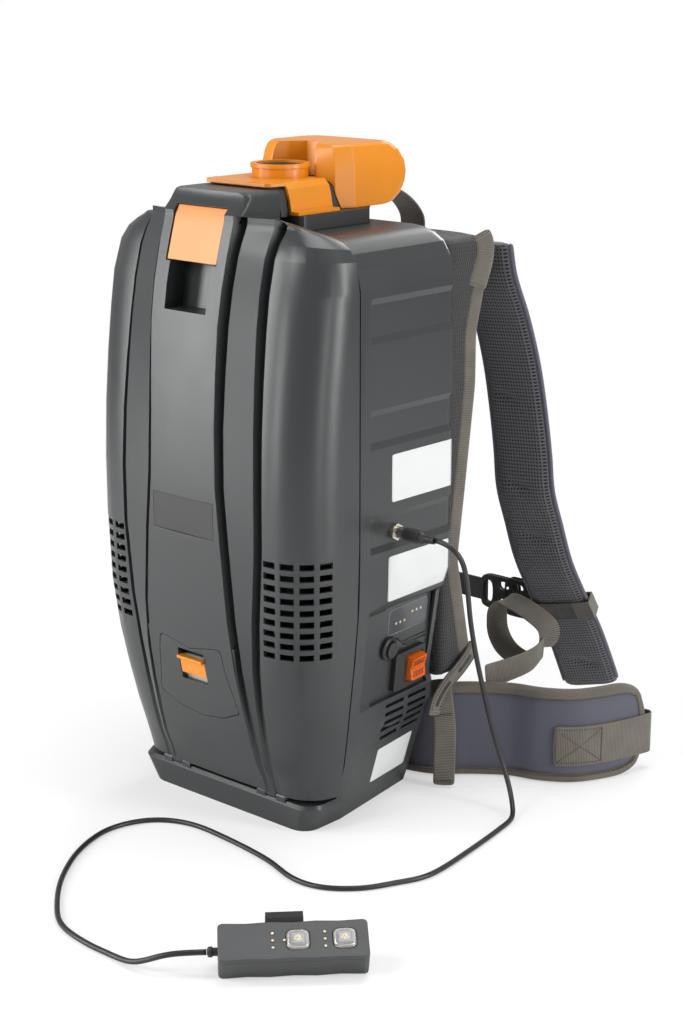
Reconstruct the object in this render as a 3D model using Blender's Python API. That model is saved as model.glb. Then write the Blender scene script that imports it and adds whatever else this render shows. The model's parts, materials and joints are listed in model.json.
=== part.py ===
"""Backpack vacuum cleaner on its own carrying harness, with a corded hand control.

Metres, +Z up. The origin is on the floor, under the middle of the body: the front
cover faces -Y, the harness is at +Y, and +X is on the right seen from the front.
The body is a hollow rear housing, open at the front, closed by a cover that tips
forward on two pins over the base lip.
"""

import math

import bmesh
import bpy
from mathutils import Matrix, Vector

MM = 0.001

# ---- body -------------------------------------------------------------------
HALF_WIDTH = 148 * MM  # widest half of housing and cover
HOUSING_TOP = 574 * MM
LOBE_RISE = 14 * MM  # of the cover's two side lobes above the housing
RIDGE_RISE = 25 * MM  # of the cover's raised middle above its lobes
COVER_TOP = HOUSING_TOP + LOBE_RISE
RIDGE_TOP = COVER_TOP + RIDGE_RISE
BACK_Y = 94 * MM
SPLIT_Y = -50 * MM  # plane where cover and housing meet
LOBE_DEPTH = 74 * MM  # cover lobes in front of the split
SPINE_DEPTH = 84 * MM  # cover middle in front of the split
WALL = 3 * MM
FIT_GAP = 0.3 * MM  # between pieces that touch
SPLIT_GAP = 1.6 * MM  # open line between cover and housing
LIP_TOP = 29 * MM  # top of the base lip under the cover
HINGE_GAP = 4.5 * MM  # open line between lip and cover
BACK_CORNER = 14 * MM
HOUSING_SHOULDER = 46 * MM
LOBE_CORNER = 48 * MM
LOBE_SHOULDER = 50 * MM
RIM_STRIP = 14 * MM  # plain band on the housing beside the split
BAND_DEPTH = 3 * MM  # how far the sunk side bands lie in
BAND_SLOPE = 6 * MM
GROOVE_DEPTH = 6 * MM
GROOVE_WIDTH = 8 * MM
GROOVE_FLOOR = 4 * MM
RIDGE_WIDTH_SHARE = 0.338  # of the body's width
RIDGE_HALF_WIDTH = RIDGE_WIDTH_SHARE * HALF_WIDTH
RIDGE_CORNER = 7 * MM
TOP_LEAN = 11 * MM  # lobe tops fall by this towards the split

# Shapes below are (share of height, share of the full size) along the body.
RIM_WIDTH_SHAPE = (
    (0, 0.735), (0.05, 0.815), (0.098, 0.858), (0.159, 0.892),
    (0.247, 0.932), (0.32, 0.966), (0.418, 0.995), (0.52, 1), (1, 1),
)
BACK_WIDTH_SHAPE = (
    (0, 0.615), (0.024, 0.65), (0.115, 0.757), (0.176, 0.851),
    (0.24, 0.858), (0.31, 0.9), (0.378, 0.939), (0.42, 1), (1, 1),
)
LOBE_DEPTH_SHAPE = (
    (0, 0.49), (0.05, 0.62), (0.11, 0.74), (0.2, 0.87), (0.28, 0.945), (0.4, 1),
    (0.55, 1), (0.66, 0.965), (0.8, 0.86), (0.9, 0.74), (0.955, 0.62), (1, 0.42),
)
SPINE_DEPTH_SHAPE = (
    (0, 0.45), (0.05, 0.6), (0.115, 0.73), (0.2, 0.87), (0.28, 0.96), (0.4, 0.995),
    (0.5, 1), (0.65, 0.98), (0.81, 0.915), (0.89, 0.8), (0.965, 0.65), (1, 0.5),
)
INNER_GROOVE_SHAPE = ((0, 0.44), (0.14, 0.43), (0.38, 0.38), (0.62, 0.31), (1, 0.33))
OUTER_GROOVE_SHAPE = ((0, 0.51), (0.2, 0.53), (0.5, 0.61), (1, 0.57))
GROOVE_DEPTH_SHAPE = ((0, 0.15), (0.08, 0.3), (0.3, 1), (1, 1))
SUNK_BANDS = ((0.205, 0.385), (0.484, 0.547), (0.66, 0.725), (0.833, 0.906))

# ---- top --------------------------------------------------------------------
DECK_HALF_WIDTH = 66 * MM
DECK_THICKNESS = 14 * MM
DECK_BACK_Y = 62 * MM
SADDLE_THICKNESS = 3.2 * MM
SADDLE_LIP = 8 * MM  # how far the saddle reaches over the cover
SADDLE_BACK_Y = 19 * MM
SADDLE_RUNNING_GAP = 1.8 * MM
COLLAR_RADIUS = 27 * MM
COLLAR_BORE = 23 * MM
COLLAR_HEIGHT = 13 * MM
COLLAR_Y = 3 * MM
HOOD_HALF_WIDTH = 57 * MM
HOOD_FRONT_Y = 20 * MM
HOOD_BACK_Y = 131 * MM
HOOD_RISE = 35 * MM  # above the cover's ridge
HOOD_TOP = RIDGE_TOP + HOOD_RISE
HOOD_CORNER = 26 * MM
HOOD_POCKET_BACK = 51 * MM  # notch of the pocket, behind the collar's centre

# ---- inside -----------------------------------------------------------------
PIPE_RADIUS = 22 * MM
PIPE_WALL = 2 * MM
BAG_HALF_WIDTH = HALF_WIDTH - 36 * MM
BAG_DEPTH = 118 * MM
BAG_HEIGHT = 262 * MM
BAG_PLATE = 3 * MM
FLOOR_Z = 240 * MM  # plate between bag chamber and motor
FLOOR_THICKNESS = 4 * MM
FILTER_THICKNESS = 10 * MM
FILTER_HALF = 62 * MM
FAN_RADIUS = 56 * MM
FAN_HEIGHT = 34 * MM
FAN_BLADES = 7
MOTOR_RADIUS = 40 * MM
MOTOR_HEIGHT = 66 * MM
MOTOR_Y = 14 * MM
BATTERY_HALF_WIDTH = HALF_WIDTH - 66 * MM
BATTERY_DEPTH = 96 * MM
BOARD_THICKNESS = 1.6 * MM

# ---- front cover fittings -----------------------------------------------------
LATCH_HALF_WIDTH = 32 * MM
LATCH_DROP = 15 * MM  # below the ridge's top
LATCH_HEIGHT = 49 * MM
LATCH_TOP = RIDGE_TOP - LATCH_DROP
LATCH_BOTTOM = LATCH_TOP - LATCH_HEIGHT
LATCH_THICKNESS = 5 * MM
FINGER_HEIGHT = 45 * MM  # of the finger scoop below the latch
POCKET_BOTTOM = LATCH_BOTTOM - FINGER_HEIGHT
POCKET_DEPTH = 24 * MM
PIN_RADIUS = 1.5 * MM
PIN_CLEARANCE = 0.4 * MM
HINGE_PIN_X = 66 * MM
KNUCKLE_WIDTH = 12 * MM
KNUCKLE_RADIUS = 3 * MM
HINGE_Y = -84 * MM
BADGE_HALF_WIDTH = 40 * MM
BADGE_HEIGHT = 35 * MM
BADGE_Z = 311 * MM
BADGE_THICKNESS = 1.2 * MM
HATCH_TOP = 184 * MM
HATCH_BOTTOM = 104 * MM
HATCH_TOP_HALF = 41 * MM
HATCH_HALF_WIDTH = 54 * MM
SEAM = 0.6 * MM
HATCH_LATCH_HALF = 17 * MM
HATCH_LATCH_TOP = 167 * MM
HATCH_LATCH_HEIGHT = 19 * MM
HATCH_LATCH_TRAVEL = 6 * MM
FINGER_SLOT = 7 * MM
VENT_ROWS = 9
VENT_TURNS = (2, 25, 48, 71)  # degrees round the lobe's corner
VENT_LENGTH = 13.5 * MM
VENT_TOP = 283 * MM
VENT_PITCH = 11.2 * MM
VENT_HEIGHT = 6 * MM

# ---- right side panel ---------------------------------------------------------
SWITCH_Y = 44 * MM
SWITCH_Z = 143 * MM
BEZEL_SIZE = (50 * MM, 40 * MM)
BEZEL_THICKNESS = 5 * MM
ROCKER_SIZE = (25 * MM, 27 * MM)
ROCKER_PROUD = 11 * MM
ROCKER_SHIFT = 8 * MM  # rocker's centre, back from the bezel's
ROCKER_TILT = 9  # degrees either side of level
BREAKER_Y = 9 * MM
BREAKER_Z = 172 * MM
BREAKER_RADIUS = 12 * MM
BUTTON_RADIUS = 8 * MM
BUTTON_TRAVEL = 3 * MM
WINDOW_Y = 39 * MM
WINDOW_Z = 198 * MM
WINDOW_SIZE = (66 * MM, 28 * MM)
WINDOW_THICKNESS = 1.2 * MM
SOCKET_Y = 3 * MM
SOCKET_Z = 294 * MM
SOCKET_NUT = 8.5 * MM
SIDE_VENT_ROWS = 5
SIDE_VENT_PITCH = 8.8 * MM
SIDE_VENT_LENGTH = 30 * MM
SIDE_VENT_HEIGHT = 3.5 * MM
SIDE_VENT_Z = 111 * MM
SIDE_VENT_Y = 9 * MM

# ---- harness ------------------------------------------------------------------
BOARD_PLATE = 4 * MM
PLATE_HALF_WIDTH = HALF_WIDTH - 44 * MM
PLATE_TOP = HOUSING_TOP - 26 * MM
PLATE_BOTTOM = 14 * MM
PAD_HALF_WIDTH = HALF_WIDTH - 20 * MM
PAD_TOP = HOUSING_TOP - 14 * MM
PAD_BOTTOM = 112 * MM
STRAP_X = PAD_HALF_WIDTH - 18 * MM
STRAP_WIDTH = 66 * MM
STRAP_THICKNESS = 12 * MM
BELT_HEIGHT = 100 * MM
BELT_THICKNESS = 12 * MM
WEBBING_WIDTH = 25 * MM
WEBBING_THICKNESS = 1.8 * MM
HIP_WEBBING_WIDTH = 43 * MM
LOOP_WIDTH = 32 * MM
BAND_STRAP_GAP = 1 * MM
BAND_THICKNESS = 1.5 * MM
BUCKLE_WIDTH = 40 * MM
BUCKLE_LENGTH = 34 * MM
BUCKLE_THICKNESS = 9 * MM
BUCKLE_TRAVEL = 20 * MM

# ---- hand control and cord ------------------------------------------------------
REMOTE_LENGTH = 126 * MM
REMOTE_WIDTH = 38 * MM
REMOTE_HEIGHT = 27 * MM
REMOTE_CORNER = (251 * MM, -343 * MM)  # front left corner on the floor
REMOTE_TURN = 46.3  # degrees of the long side from +X
REMOTE_TILT = 29  # degrees that the top leans to the front
REMOTE_LID = 4 * MM
KEY_SIZE = 19 * MM
KEY_TRAVEL = 1 * MM
CORD_DIAMETER = 5 * MM
PLUG_RADIUS = 6.2 * MM
PLUG_LENGTH = 36 * MM


# ---- small helpers ---------------------------------------------------------------
def shape_at(points, share):
    """Value at a share of the height, on a smooth line that never overshoots its points."""
    if share <= points[0][0]:
        return points[0][1]
    for (a, low), (b, high) in zip(points, points[1:]):
        if share <= b:
            t = (share - a) / (b - a)
            before = [v for s, v in points if s < a][-1:] or [low]
            after = [v for s, v in points if s > b][:1] or [high]
            start = limited_slope(before[0], low, high)
            end = limited_slope(low, high, after[0])
            return hermite(low, high, start, end, t)
    return points[-1][1]


def limited_slope(a, b, c):
    """Slope at b that keeps the line between its points."""
    if (b - a) * (c - b) <= 0:
        return 0
    return math.copysign(min(abs(c - a) / 2, 2 * abs(b - a), 2 * abs(c - b)), c - a)


def hermite(a, b, start, end, t):
    return (
        a * (1 + 2 * t) * (1 - t) ** 2
        + b * t * t * (3 - 2 * t)
        + start * t * (1 - t) ** 2
        - end * t * t * (1 - t)
    )


def clear_scene():
    for old in list(bpy.data.objects):
        bpy.data.objects.remove(old, do_unlink=True)


def material(name, colour, roughness, metallic=0.0, alpha=1.0):
    found = bpy.data.materials.get(name)
    if found:
        return found
    made = bpy.data.materials.new(name)
    made.use_nodes = True
    shader = made.node_tree.nodes["Principled BSDF"]
    shader.inputs["Base Color"].default_value = (*colour, 1)
    shader.inputs["Roughness"].default_value = roughness
    shader.inputs["Metallic"].default_value = metallic
    shader.inputs["Alpha"].default_value = alpha
    return made


def charcoal():
    return material("charcoal_plastic", (0.085, 0.088, 0.09), 0.38)


def dark_plastic():
    return material("black_plastic", (0.018, 0.018, 0.02), 0.4)


def orange():
    return material("orange_plastic", (0.8, 0.28, 0.03), 0.35)


def webbing():
    return material("taupe_webbing", (0.2, 0.17, 0.14), 0.85)


def belt_cloth():
    return material("slate_cloth", (0.07, 0.07, 0.09), 0.9)


def mesh_cloth():
    return material("dark_mesh", (0.06, 0.06, 0.065), 0.9)


def steel():
    return material("nickel", (0.65, 0.62, 0.55), 0.25, 1.0)


def add_object(name, bm, finish):
    """Puts the shape in the scene as one named object, faces outward."""
    bmesh.ops.recalc_face_normals(bm, faces=bm.faces)
    mesh = bpy.data.meshes.new(name)
    bm.to_mesh(mesh)
    bm.free()
    mesh.materials.append(finish)
    mesh.shade_smooth()
    mesh.set_sharp_from_angle(angle=math.radians(30))
    made = bpy.data.objects.new(name, mesh)
    bpy.context.scene.collection.objects.link(made)
    return made


def loft(name, rings, finish, closed=False):
    """A solid through rings of points; with closed, the last ring joins the first."""
    bm = bmesh.new()
    rows = [[bm.verts.new(point) for point in ring] for ring in rings]
    pairs = list(zip(rows, rows[1:]))
    if closed:
        pairs.append((rows[-1], rows[0]))
    for low, high in pairs:
        count = len(low)
        for i in range(count):
            j = (i + 1) % count
            bm.faces.new((low[i], low[j], high[j], high[i]))
    if not closed:
        bm.faces.new(rows[0])
        bm.faces.new(rows[-1])
    return add_object(name, bm, finish)


def prism(name, outline, axis, low, high, finish, frame=None):
    """An outline of (u, v) points drawn out along an axis, in the world or in a frame."""
    place = {
        "x": lambda u, v, w: Vector((w, u, v)),
        "y": lambda u, v, w: Vector((u, w, v)),
        "z": lambda u, v, w: Vector((u, v, w)),
    }[axis]
    rings = [[place(u, v, w) for u, v in outline] for w in (low, high)]
    if frame is not None:
        rings = [[frame @ point for point in ring] for ring in rings]
    return loft(name, rings, finish)


def rectangle(width, height, corner=0.0, centre=(0, 0), steps=3):
    """Points of a rectangle with round corners."""
    cu, cv = centre
    if corner <= 0:
        w, h = width / 2, height / 2
        return [(cu - w, cv - h), (cu + w, cv - h), (cu + w, cv + h), (cu - w, cv + h)]
    points = []
    for quarter, (su, sv) in enumerate(((1, 1), (-1, 1), (-1, -1), (1, -1))):
        for step in range(steps + 1):
            angle = math.pi / 2 * (quarter + step / steps)
            points.append(
                (
                    cu + su * (width / 2 - corner) + corner * math.cos(angle),
                    cv + sv * (height / 2 - corner) + corner * math.sin(angle),
                )
            )
    return points


def circle(radius, sides, centre=(0, 0)):
    return [
        (
            centre[0] + radius * math.cos(2 * math.pi * i / sides),
            centre[1] + radius * math.sin(2 * math.pi * i / sides),
        )
        for i in range(sides)
    ]


def turned(name, profile, sides, finish, frame):
    """A closed profile of (radius, height) points turned about the frame's Z."""
    rings = []
    for i in range(sides):
        turn = 2 * math.pi * i / sides
        rings.append(
            [frame @ Vector((r * math.cos(turn), r * math.sin(turn), h)) for r, h in profile]
        )
    return loft(name, rings, finish, closed=True)


def box(name, low, high, finish):
    outline = [(low[0], low[1]), (high[0], low[1]), (high[0], high[1]), (low[0], high[1])]
    return prism(name, outline, "z", low[2], high[2], finish)


def boolean(target, tool, operation):
    """Applies one Boolean and removes the tool."""
    step = target.modifiers.new(operation.lower(), "BOOLEAN")
    step.operation = operation
    step.solver = "EXACT"
    step.object = tool
    graph = bpy.context.evaluated_depsgraph_get()
    mesh = bpy.data.meshes.new_from_object(target.evaluated_get(graph))
    target.modifiers.clear()
    target.data = mesh
    mesh.shade_smooth()
    mesh.set_sharp_from_angle(angle=math.radians(30))
    bpy.data.objects.remove(tool, do_unlink=True)
    return target


def cut(target, *tools):
    for tool in tools:
        boolean(target, tool, "DIFFERENCE")
    return target


def join(target, *tools):
    for tool in tools:
        boolean(target, tool, "UNION")
    return target


def inset_line(points, distance):
    """An open line of (x, y) points moved sideways, to its left for a positive distance."""
    moved = []
    for i, (x, y) in enumerate(points):
        ax, ay = points[max(i - 1, 0)]
        bx, by = points[min(i + 1, len(points) - 1)]
        first = Vector((x - ax, y - ay)) if i else Vector((bx - x, by - y))
        second = Vector((bx - x, by - y)) if i < len(points) - 1 else first
        first.normalize()
        second.normalize()
        normal = Vector((-first.y - second.y, first.x + second.x))
        share = max(normal.dot(Vector((-first.y, first.x))), 0.35)
        moved.append((x + normal.x * distance / share, y + normal.y * distance / share))
    return moved


def smooth_path(points, count):
    """Points at even steps along a smooth curve through the given ones."""
    knots = [Vector(p) for p in points]
    ends = [2 * knots[0] - knots[1], *knots, 2 * knots[-1] - knots[-2]]
    fine = []
    for i in range(1, len(ends) - 2):
        a, b, c, d = ends[i - 1 : i + 3]
        for step in range(16):
            t = step / 16
            fine.append(
                0.5
                * (
                    2 * b
                    + (c - a) * t
                    + (2 * a - 5 * b + 4 * c - d) * t * t
                    + (3 * b - a - 3 * c + d) * t**3
                )
            )
    fine.append(knots[-1])
    lengths = [0.0]
    for p, q in zip(fine, fine[1:]):
        lengths.append(lengths[-1] + (q - p).length)
    result = []
    spot = 0
    for i in range(count):
        goal = lengths[-1] * i / (count - 1)
        while spot < len(fine) - 2 and lengths[spot + 1] < goal:
            spot += 1
        step = lengths[spot + 1] - lengths[spot]
        share = (goal - lengths[spot]) / step if step else 0
        result.append(fine[spot].lerp(fine[spot + 1], min(share, 1)))
    return result


def ribbon(name, path, across, width, thickness, finish, round_edges=False):
    """A flat strap swept along a path. across(i) is its width direction at point i."""
    rings = []
    for i, point in enumerate(path):
        ahead = (path[min(i + 1, len(path) - 1)] - path[max(i - 1, 0)]).normalized()
        side = Vector(across(i))
        side = (side - ahead * side.dot(ahead)).normalized()
        up = ahead.cross(side)
        w, h = width / 2, thickness / 2
        corners = [(-w, -h), (w, -h), (w, h), (-w, h)]
        if round_edges:
            e = h * 0.6
            corners = [(-w, -h + e), (-w + e, -h), (w - e, -h), (w, -h + e)]
            corners += [(w, h - e), (w - e, h), (-w + e, h), (-w, h - e)]
        rings.append([point + side * u + up * v for u, v in corners])
    return loft(name, rings, finish)


# ---- body shells -------------------------------------------------------------------
COVER_BOTTOM = LIP_TOP + HINGE_GAP
COVER_SPAN = COVER_TOP - COVER_BOTTOM
HOUSING_FRONT = SPLIT_Y + SPLIT_GAP


def arc_drop(z, top, radius):
    """How far a round shoulder of this radius has pulled in at height z."""
    above = min(z - (top - radius), radius)
    return radius - math.sqrt(radius**2 - above**2) if above > 0 else 0


def rim_half_width(z, top, shoulder):
    return HALF_WIDTH * shape_at(RIM_WIDTH_SHAPE, z / HOUSING_TOP) - arc_drop(z, top, shoulder)


def cover_half_width(z):
    return rim_half_width(z, COVER_TOP, LOBE_SHOULDER)


def cover_share(z):
    return (z - COVER_BOTTOM) / COVER_SPAN


def spine_y(z):
    share = (z - COVER_BOTTOM) / (RIDGE_TOP - COVER_BOTTOM)
    return SPLIT_Y - SPINE_DEPTH * shape_at(SPINE_DEPTH_SHAPE, share)


def lobe_y(z):
    return SPLIT_Y - LOBE_DEPTH * shape_at(LOBE_DEPTH_SHAPE, cover_share(z))


def groove_x(shape, z):
    return HALF_WIDTH * shape_at(shape, cover_share(z))


def groove(x, z, outer_y, inner_y):
    """Four points across one groove, from its outer edge to its inner one."""
    half, floor = GROOVE_WIDTH / 2, GROOVE_FLOOR / 2
    deep = max(outer_y, inner_y) + GROOVE_DEPTH * shape_at(GROOVE_DEPTH_SHAPE, cover_share(z))
    return [(x + half, outer_y), (x + floor, deep), (x - floor, deep), (x - half, inner_y)]


def corner_arc(x, y, radius, steps, rise=-1):
    """Points round a corner that ends at x on the side and y at the front or back."""
    points = []
    for step in range(steps):
        turn = math.pi / 2 * step / (steps - 1)
        points.append(
            (
                x - radius + radius * math.cos(turn),
                y - rise * radius + rise * radius * math.sin(turn),
            )
        )
    return points


def lobe_section(z):
    """Right half of the cover's outer line at a height below the lobes' top."""
    width, front, spine = cover_half_width(z), lobe_y(z), spine_y(z)
    outer = groove_x(OUTER_GROOVE_SHAPE, z)
    radius = min(LOBE_CORNER, SPLIT_Y - front - MM, width - outer - GROOVE_WIDTH / 2 - MM)
    points = [(width, SPLIT_Y)] + corner_arc(width, front, radius, 7)
    points += groove(outer, z, front, front + 0.3 * (spine - front))
    points += groove(groove_x(INNER_GROOVE_SHAPE, z), z, front + 0.6 * (spine - front), spine)
    return points


def strip_section(z):
    """Right half just above the lobes, where only the strips beside the ridge go on."""
    strip = lobe_section(COVER_TOP)[11:]
    edge_x, edge_y = strip[0]
    side = [(edge_x, SPLIT_Y + (edge_y - SPLIT_Y) * i / 11) for i in range(11)]
    return side + strip


def ridge_section(z, wall=0.0):
    """Right half of the ridge above the lobes: a plain flank and a round corner."""
    half = RIDGE_HALF_WIDTH - wall - arc_drop(z + wall, RIDGE_TOP, RIDGE_CORNER)
    front = spine_y(z + wall) + wall
    back = SPLIT_Y + wall
    side = [(half, back + (front + RIDGE_CORNER - back) * i / 9) for i in range(9)]
    return side + corner_arc(half, front, RIDGE_CORNER, 7)


def hollow_section(z):
    """Right half of the cover's hollow, with one thick web under both grooves."""
    width = rim_half_width(z, COVER_TOP - WALL, LOBE_SHOULDER - WALL) - WALL
    front, spine = lobe_y(z) + WALL, spine_y(z) + WALL
    outer, inner = groove_x(OUTER_GROOVE_SHAPE, z), groove_x(INNER_GROOVE_SHAPE, z)
    reach = GROOVE_WIDTH / 2 + WALL
    radius = min(LOBE_CORNER - WALL, SPLIT_Y - front - MM, width - outer - reach - MM)
    web = front + GROOVE_DEPTH * shape_at(GROOVE_DEPTH_SHAPE, cover_share(z))
    points = [(width, SPLIT_Y + WALL)] + corner_arc(width, front, radius, 8)
    points += [(outer + reach, front), (outer + reach / 2, web), (inner - reach / 2, web)]
    points += [(inner - reach, spine)] + [(inner * k, spine) for k in (0.75, 0.5, 0.25)]
    return points


def lean(y, z, wall):
    """Drop of the lobe tops towards the split."""
    start = COVER_TOP - LOBE_SHOULDER
    rise = min(max((z - start) / (LOBE_SHOULDER - wall), 0), 1) ** 2
    front = SPLIT_Y - LOBE_DEPTH / 2
    return TOP_LEAN * rise * min(max((y - front) / (SPLIT_Y - front), 0), 1)


def whole_ring(half, crown_y, z, wall=0.0, leans=True):
    """A level ring from its right half, with the lobes' lean."""
    line = half + [(0.0, crown_y)] + [(-x, y) for x, y in reversed(half)]
    return [Vector((x, y, z - leans * lean(y, z, wall))) for x, y in line]


def cover_levels(wall=0.0):
    """Heights of the lobe rings, closer where the form turns; fewer for the hollow."""
    shares = (0, 0.025, 0.06, 0.11, 0.17, 0.24, 0.33, 0.46, 0.56, 0.66, 0.75, 0.83, 0.89)
    if wall:
        shares = (0, 0.06, 0.17, 0.33, 0.56, 0.75, 0.89)
    levels = [COVER_BOTTOM + share * COVER_SPAN for share in shares]
    levels[0] += wall
    shoulder = LOBE_SHOULDER - wall
    for degrees in (22, 40, 55, 68, 80, 90):
        levels.append(COVER_TOP - wall - shoulder * (1 - math.sin(math.radians(degrees))))
    return levels


def cover_outer(name):
    rings = [whole_ring(lobe_section(z), spine_y(z) - MM, z) for z in cover_levels()]
    step = GROOVE_FLOOR
    top = COVER_TOP
    rings.append(whole_ring(strip_section(top), spine_y(top) - MM, top + step))
    rings.append(whole_ring(ridge_section(top), spine_y(top) - MM, top + 1.3 * step))
    for share in (1.6, 1, 0.5, 0.2, 0):
        z = RIDGE_TOP - RIDGE_CORNER * share
        rings.append(whole_ring(ridge_section(z), spine_y(z) - MM, z, leans=False))
    return loft(name, rings, charcoal())


def cover_hollow(name):
    rings = []
    for z in cover_levels(WALL):
        rings.append(whole_ring(hollow_section(z), spine_y(z) + WALL, z, WALL))
    for z in (COVER_TOP - WALL + MM, RIDGE_TOP - WALL - RIDGE_CORNER, RIDGE_TOP - WALL - MM):
        half = ridge_section(z, WALL)
        rings.append(whole_ring(half, spine_y(z + WALL) + WALL, z, leans=False))
    return loft(name, rings, charcoal())


def sunk(z):
    """1 inside the sunk side bands, 0 outside, with a slope between."""
    for low, high in SUNK_BANDS:
        bottom, top = low * HOUSING_TOP, high * HOUSING_TOP
        if bottom < z < top:
            return min((z - bottom) / BAND_SLOPE, (top - z) / BAND_SLOPE, 1)
    return 0


def back_half_width(z):
    width = HALF_WIDTH * shape_at(BACK_WIDTH_SHAPE, z / HOUSING_TOP)
    return width - arc_drop(z, HOUSING_TOP, HOUSING_SHOULDER)


def side_x(y, z):
    """Half width of the housing's side surface."""
    front, back = HOUSING_FRONT + RIM_STRIP, BACK_Y - BACK_CORNER
    share = min(max((y - front) / (back - front), 0), 1)
    rim = rim_half_width(z, HOUSING_TOP, HOUSING_SHOULDER)
    return rim + (back_half_width(z) - rim) * share - BAND_DEPTH * sunk(z)


def housing_section(z):
    rim = rim_half_width(z, HOUSING_TOP, HOUSING_SHOULDER)
    step = HOUSING_FRONT + RIM_STRIP
    back_y = BACK_Y - arc_drop(z, HOUSING_TOP, BACK_CORNER)
    back = back_half_width(z) - BAND_DEPTH * sunk(z)
    points = [(rim, HOUSING_FRONT), (rim, step), (side_x(step, z), step + BAND_SLOPE / 4)]
    return points + corner_arc(back, back_y, BACK_CORNER, 5, rise=1)


def housing_hollow_section(z, front_y, gap=0.0):
    """Right half of the housing's hollow; with a gap, the edge of a plate that fits in it."""
    inset = WALL + BAND_DEPTH + gap
    top, shoulder = HOUSING_TOP - WALL, HOUSING_SHOULDER - WALL
    rim = rim_half_width(z, top, shoulder) - inset
    step = HOUSING_FRONT + RIM_STRIP
    full = HALF_WIDTH * shape_at(BACK_WIDTH_SHAPE, z / HOUSING_TOP)
    back = full - arc_drop(z, top, shoulder) - inset
    back_y = BACK_Y - WALL - gap - arc_drop(z, top, BACK_CORNER - WALL)
    return [(rim, front_y), (rim, step)] + corner_arc(back, back_y, BACK_CORNER, 5, rise=1)


def level_loft(name, section, levels, finish):
    """A loft of level rings, each a right half and its mirror image."""
    rings = []
    for z in levels:
        half = section(z)
        line = half + [(-x, y) for x, y in reversed(half)]
        rings.append([Vector((x, y, z)) for x, y in line])
    return loft(name, rings, finish)


def housing_levels():
    levels = [share * HOUSING_TOP for share, _ in BACK_WIDTH_SHAPE[:-1]]
    for low, high in SUNK_BANDS:
        bottom, top = low * HOUSING_TOP, high * HOUSING_TOP
        levels += [bottom, bottom + BAND_SLOPE, top - BAND_SLOPE, top]
    for degrees in (0, 25, 45, 60, 72, 82, 90):
        levels.append(HOUSING_TOP - HOUSING_SHOULDER * (1 - math.sin(math.radians(degrees))))
    return sorted(levels)


def lip_section(z):
    """The base in front of the split, under the cover."""
    share = z / LIP_TOP
    front = SPLIT_Y - (33 + 5 * min(share, 0.88) / 0.88) * MM
    inset = 0.0
    if share > 0.88:
        inset = (share - 0.88) / 0.12 * KNUCKLE_RADIUS
        front += inset
    width = rim_half_width(z, HOUSING_TOP, HOUSING_SHOULDER) - inset
    return [(width, SPLIT_Y + RIM_STRIP / 2)] + corner_arc(width, front, 18 * MM, 6)


def plate_in_housing(name, z, thickness, finish, gap=0.5 * MM):
    """A level plate that follows the housing's inner walls."""
    half = housing_hollow_section(z, HOUSING_FRONT + WALL, gap)
    line = half + [(-x, y) for x, y in reversed(half)]
    return prism(name, line, "z", z, z + thickness, finish)


def x_cylinder(name, low, high, y, z, radius, finish, sides=16):
    return prism(name, circle(radius, sides, (y, z)), "x", low, high, finish)


def z_cylinder(name, radius, low, high, finish, sides=32, centre=(0, 0)):
    return prism(name, circle(radius, sides, centre), "z", low, high, finish)


def surface_frame(y, z):
    """A frame on the right side panel: U to the back, V up, W outward."""
    step = 20 * MM
    along = Vector(((side_x(y + step, z) - side_x(y - step, z)) / (2 * step), 1, 0))
    rise = Vector(((side_x(y, z + step) - side_x(y, z - step)) / (2 * step), 0, 1))
    out = along.cross(rise).normalized()
    along.normalize()
    up = out.cross(along)
    frame = Matrix((along, up, out)).transposed().to_4x4()
    frame.translation = Vector((side_x(y, z), y, z))
    return frame


# ---- rear housing and cover -----------------------------------------------------------
HINGE_Z = LIP_TOP + HINGE_GAP / 2
HINGE_REACH = KNUCKLE_WIDTH / 2
HOLE_RADIUS = PIN_RADIUS + PIN_CLEARANCE
ORIFICE_RADIUS = PIPE_RADIUS + FIT_GAP


def hinge_barrel(name, x, radius, below, above, spread=0.0):
    """A short barrel on the hinge line with a neck that runs down or up from it."""
    half = HINGE_REACH + spread
    barrel = x_cylinder(name, x - half, x + half, HINGE_Y, HINGE_Z, radius, charcoal())
    low = (x - half, HINGE_Y - radius, HINGE_Z - below)
    neck = box("neck", low, (x + half, HINGE_Y + radius, HINGE_Z + above), charcoal())
    return join(barrel, neck)


def ear_positions(side):
    pitch = KNUCKLE_WIDTH + MM
    return [side * (HINGE_PIN_X - pitch), side * (HINGE_PIN_X + pitch)]


def pin_bore(x):
    reach = 2 * KNUCKLE_WIDTH
    return x_cylinder("bore", x - reach, x + reach, HINGE_Y, HINGE_Z, HOLE_RADIUS, charcoal())


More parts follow.
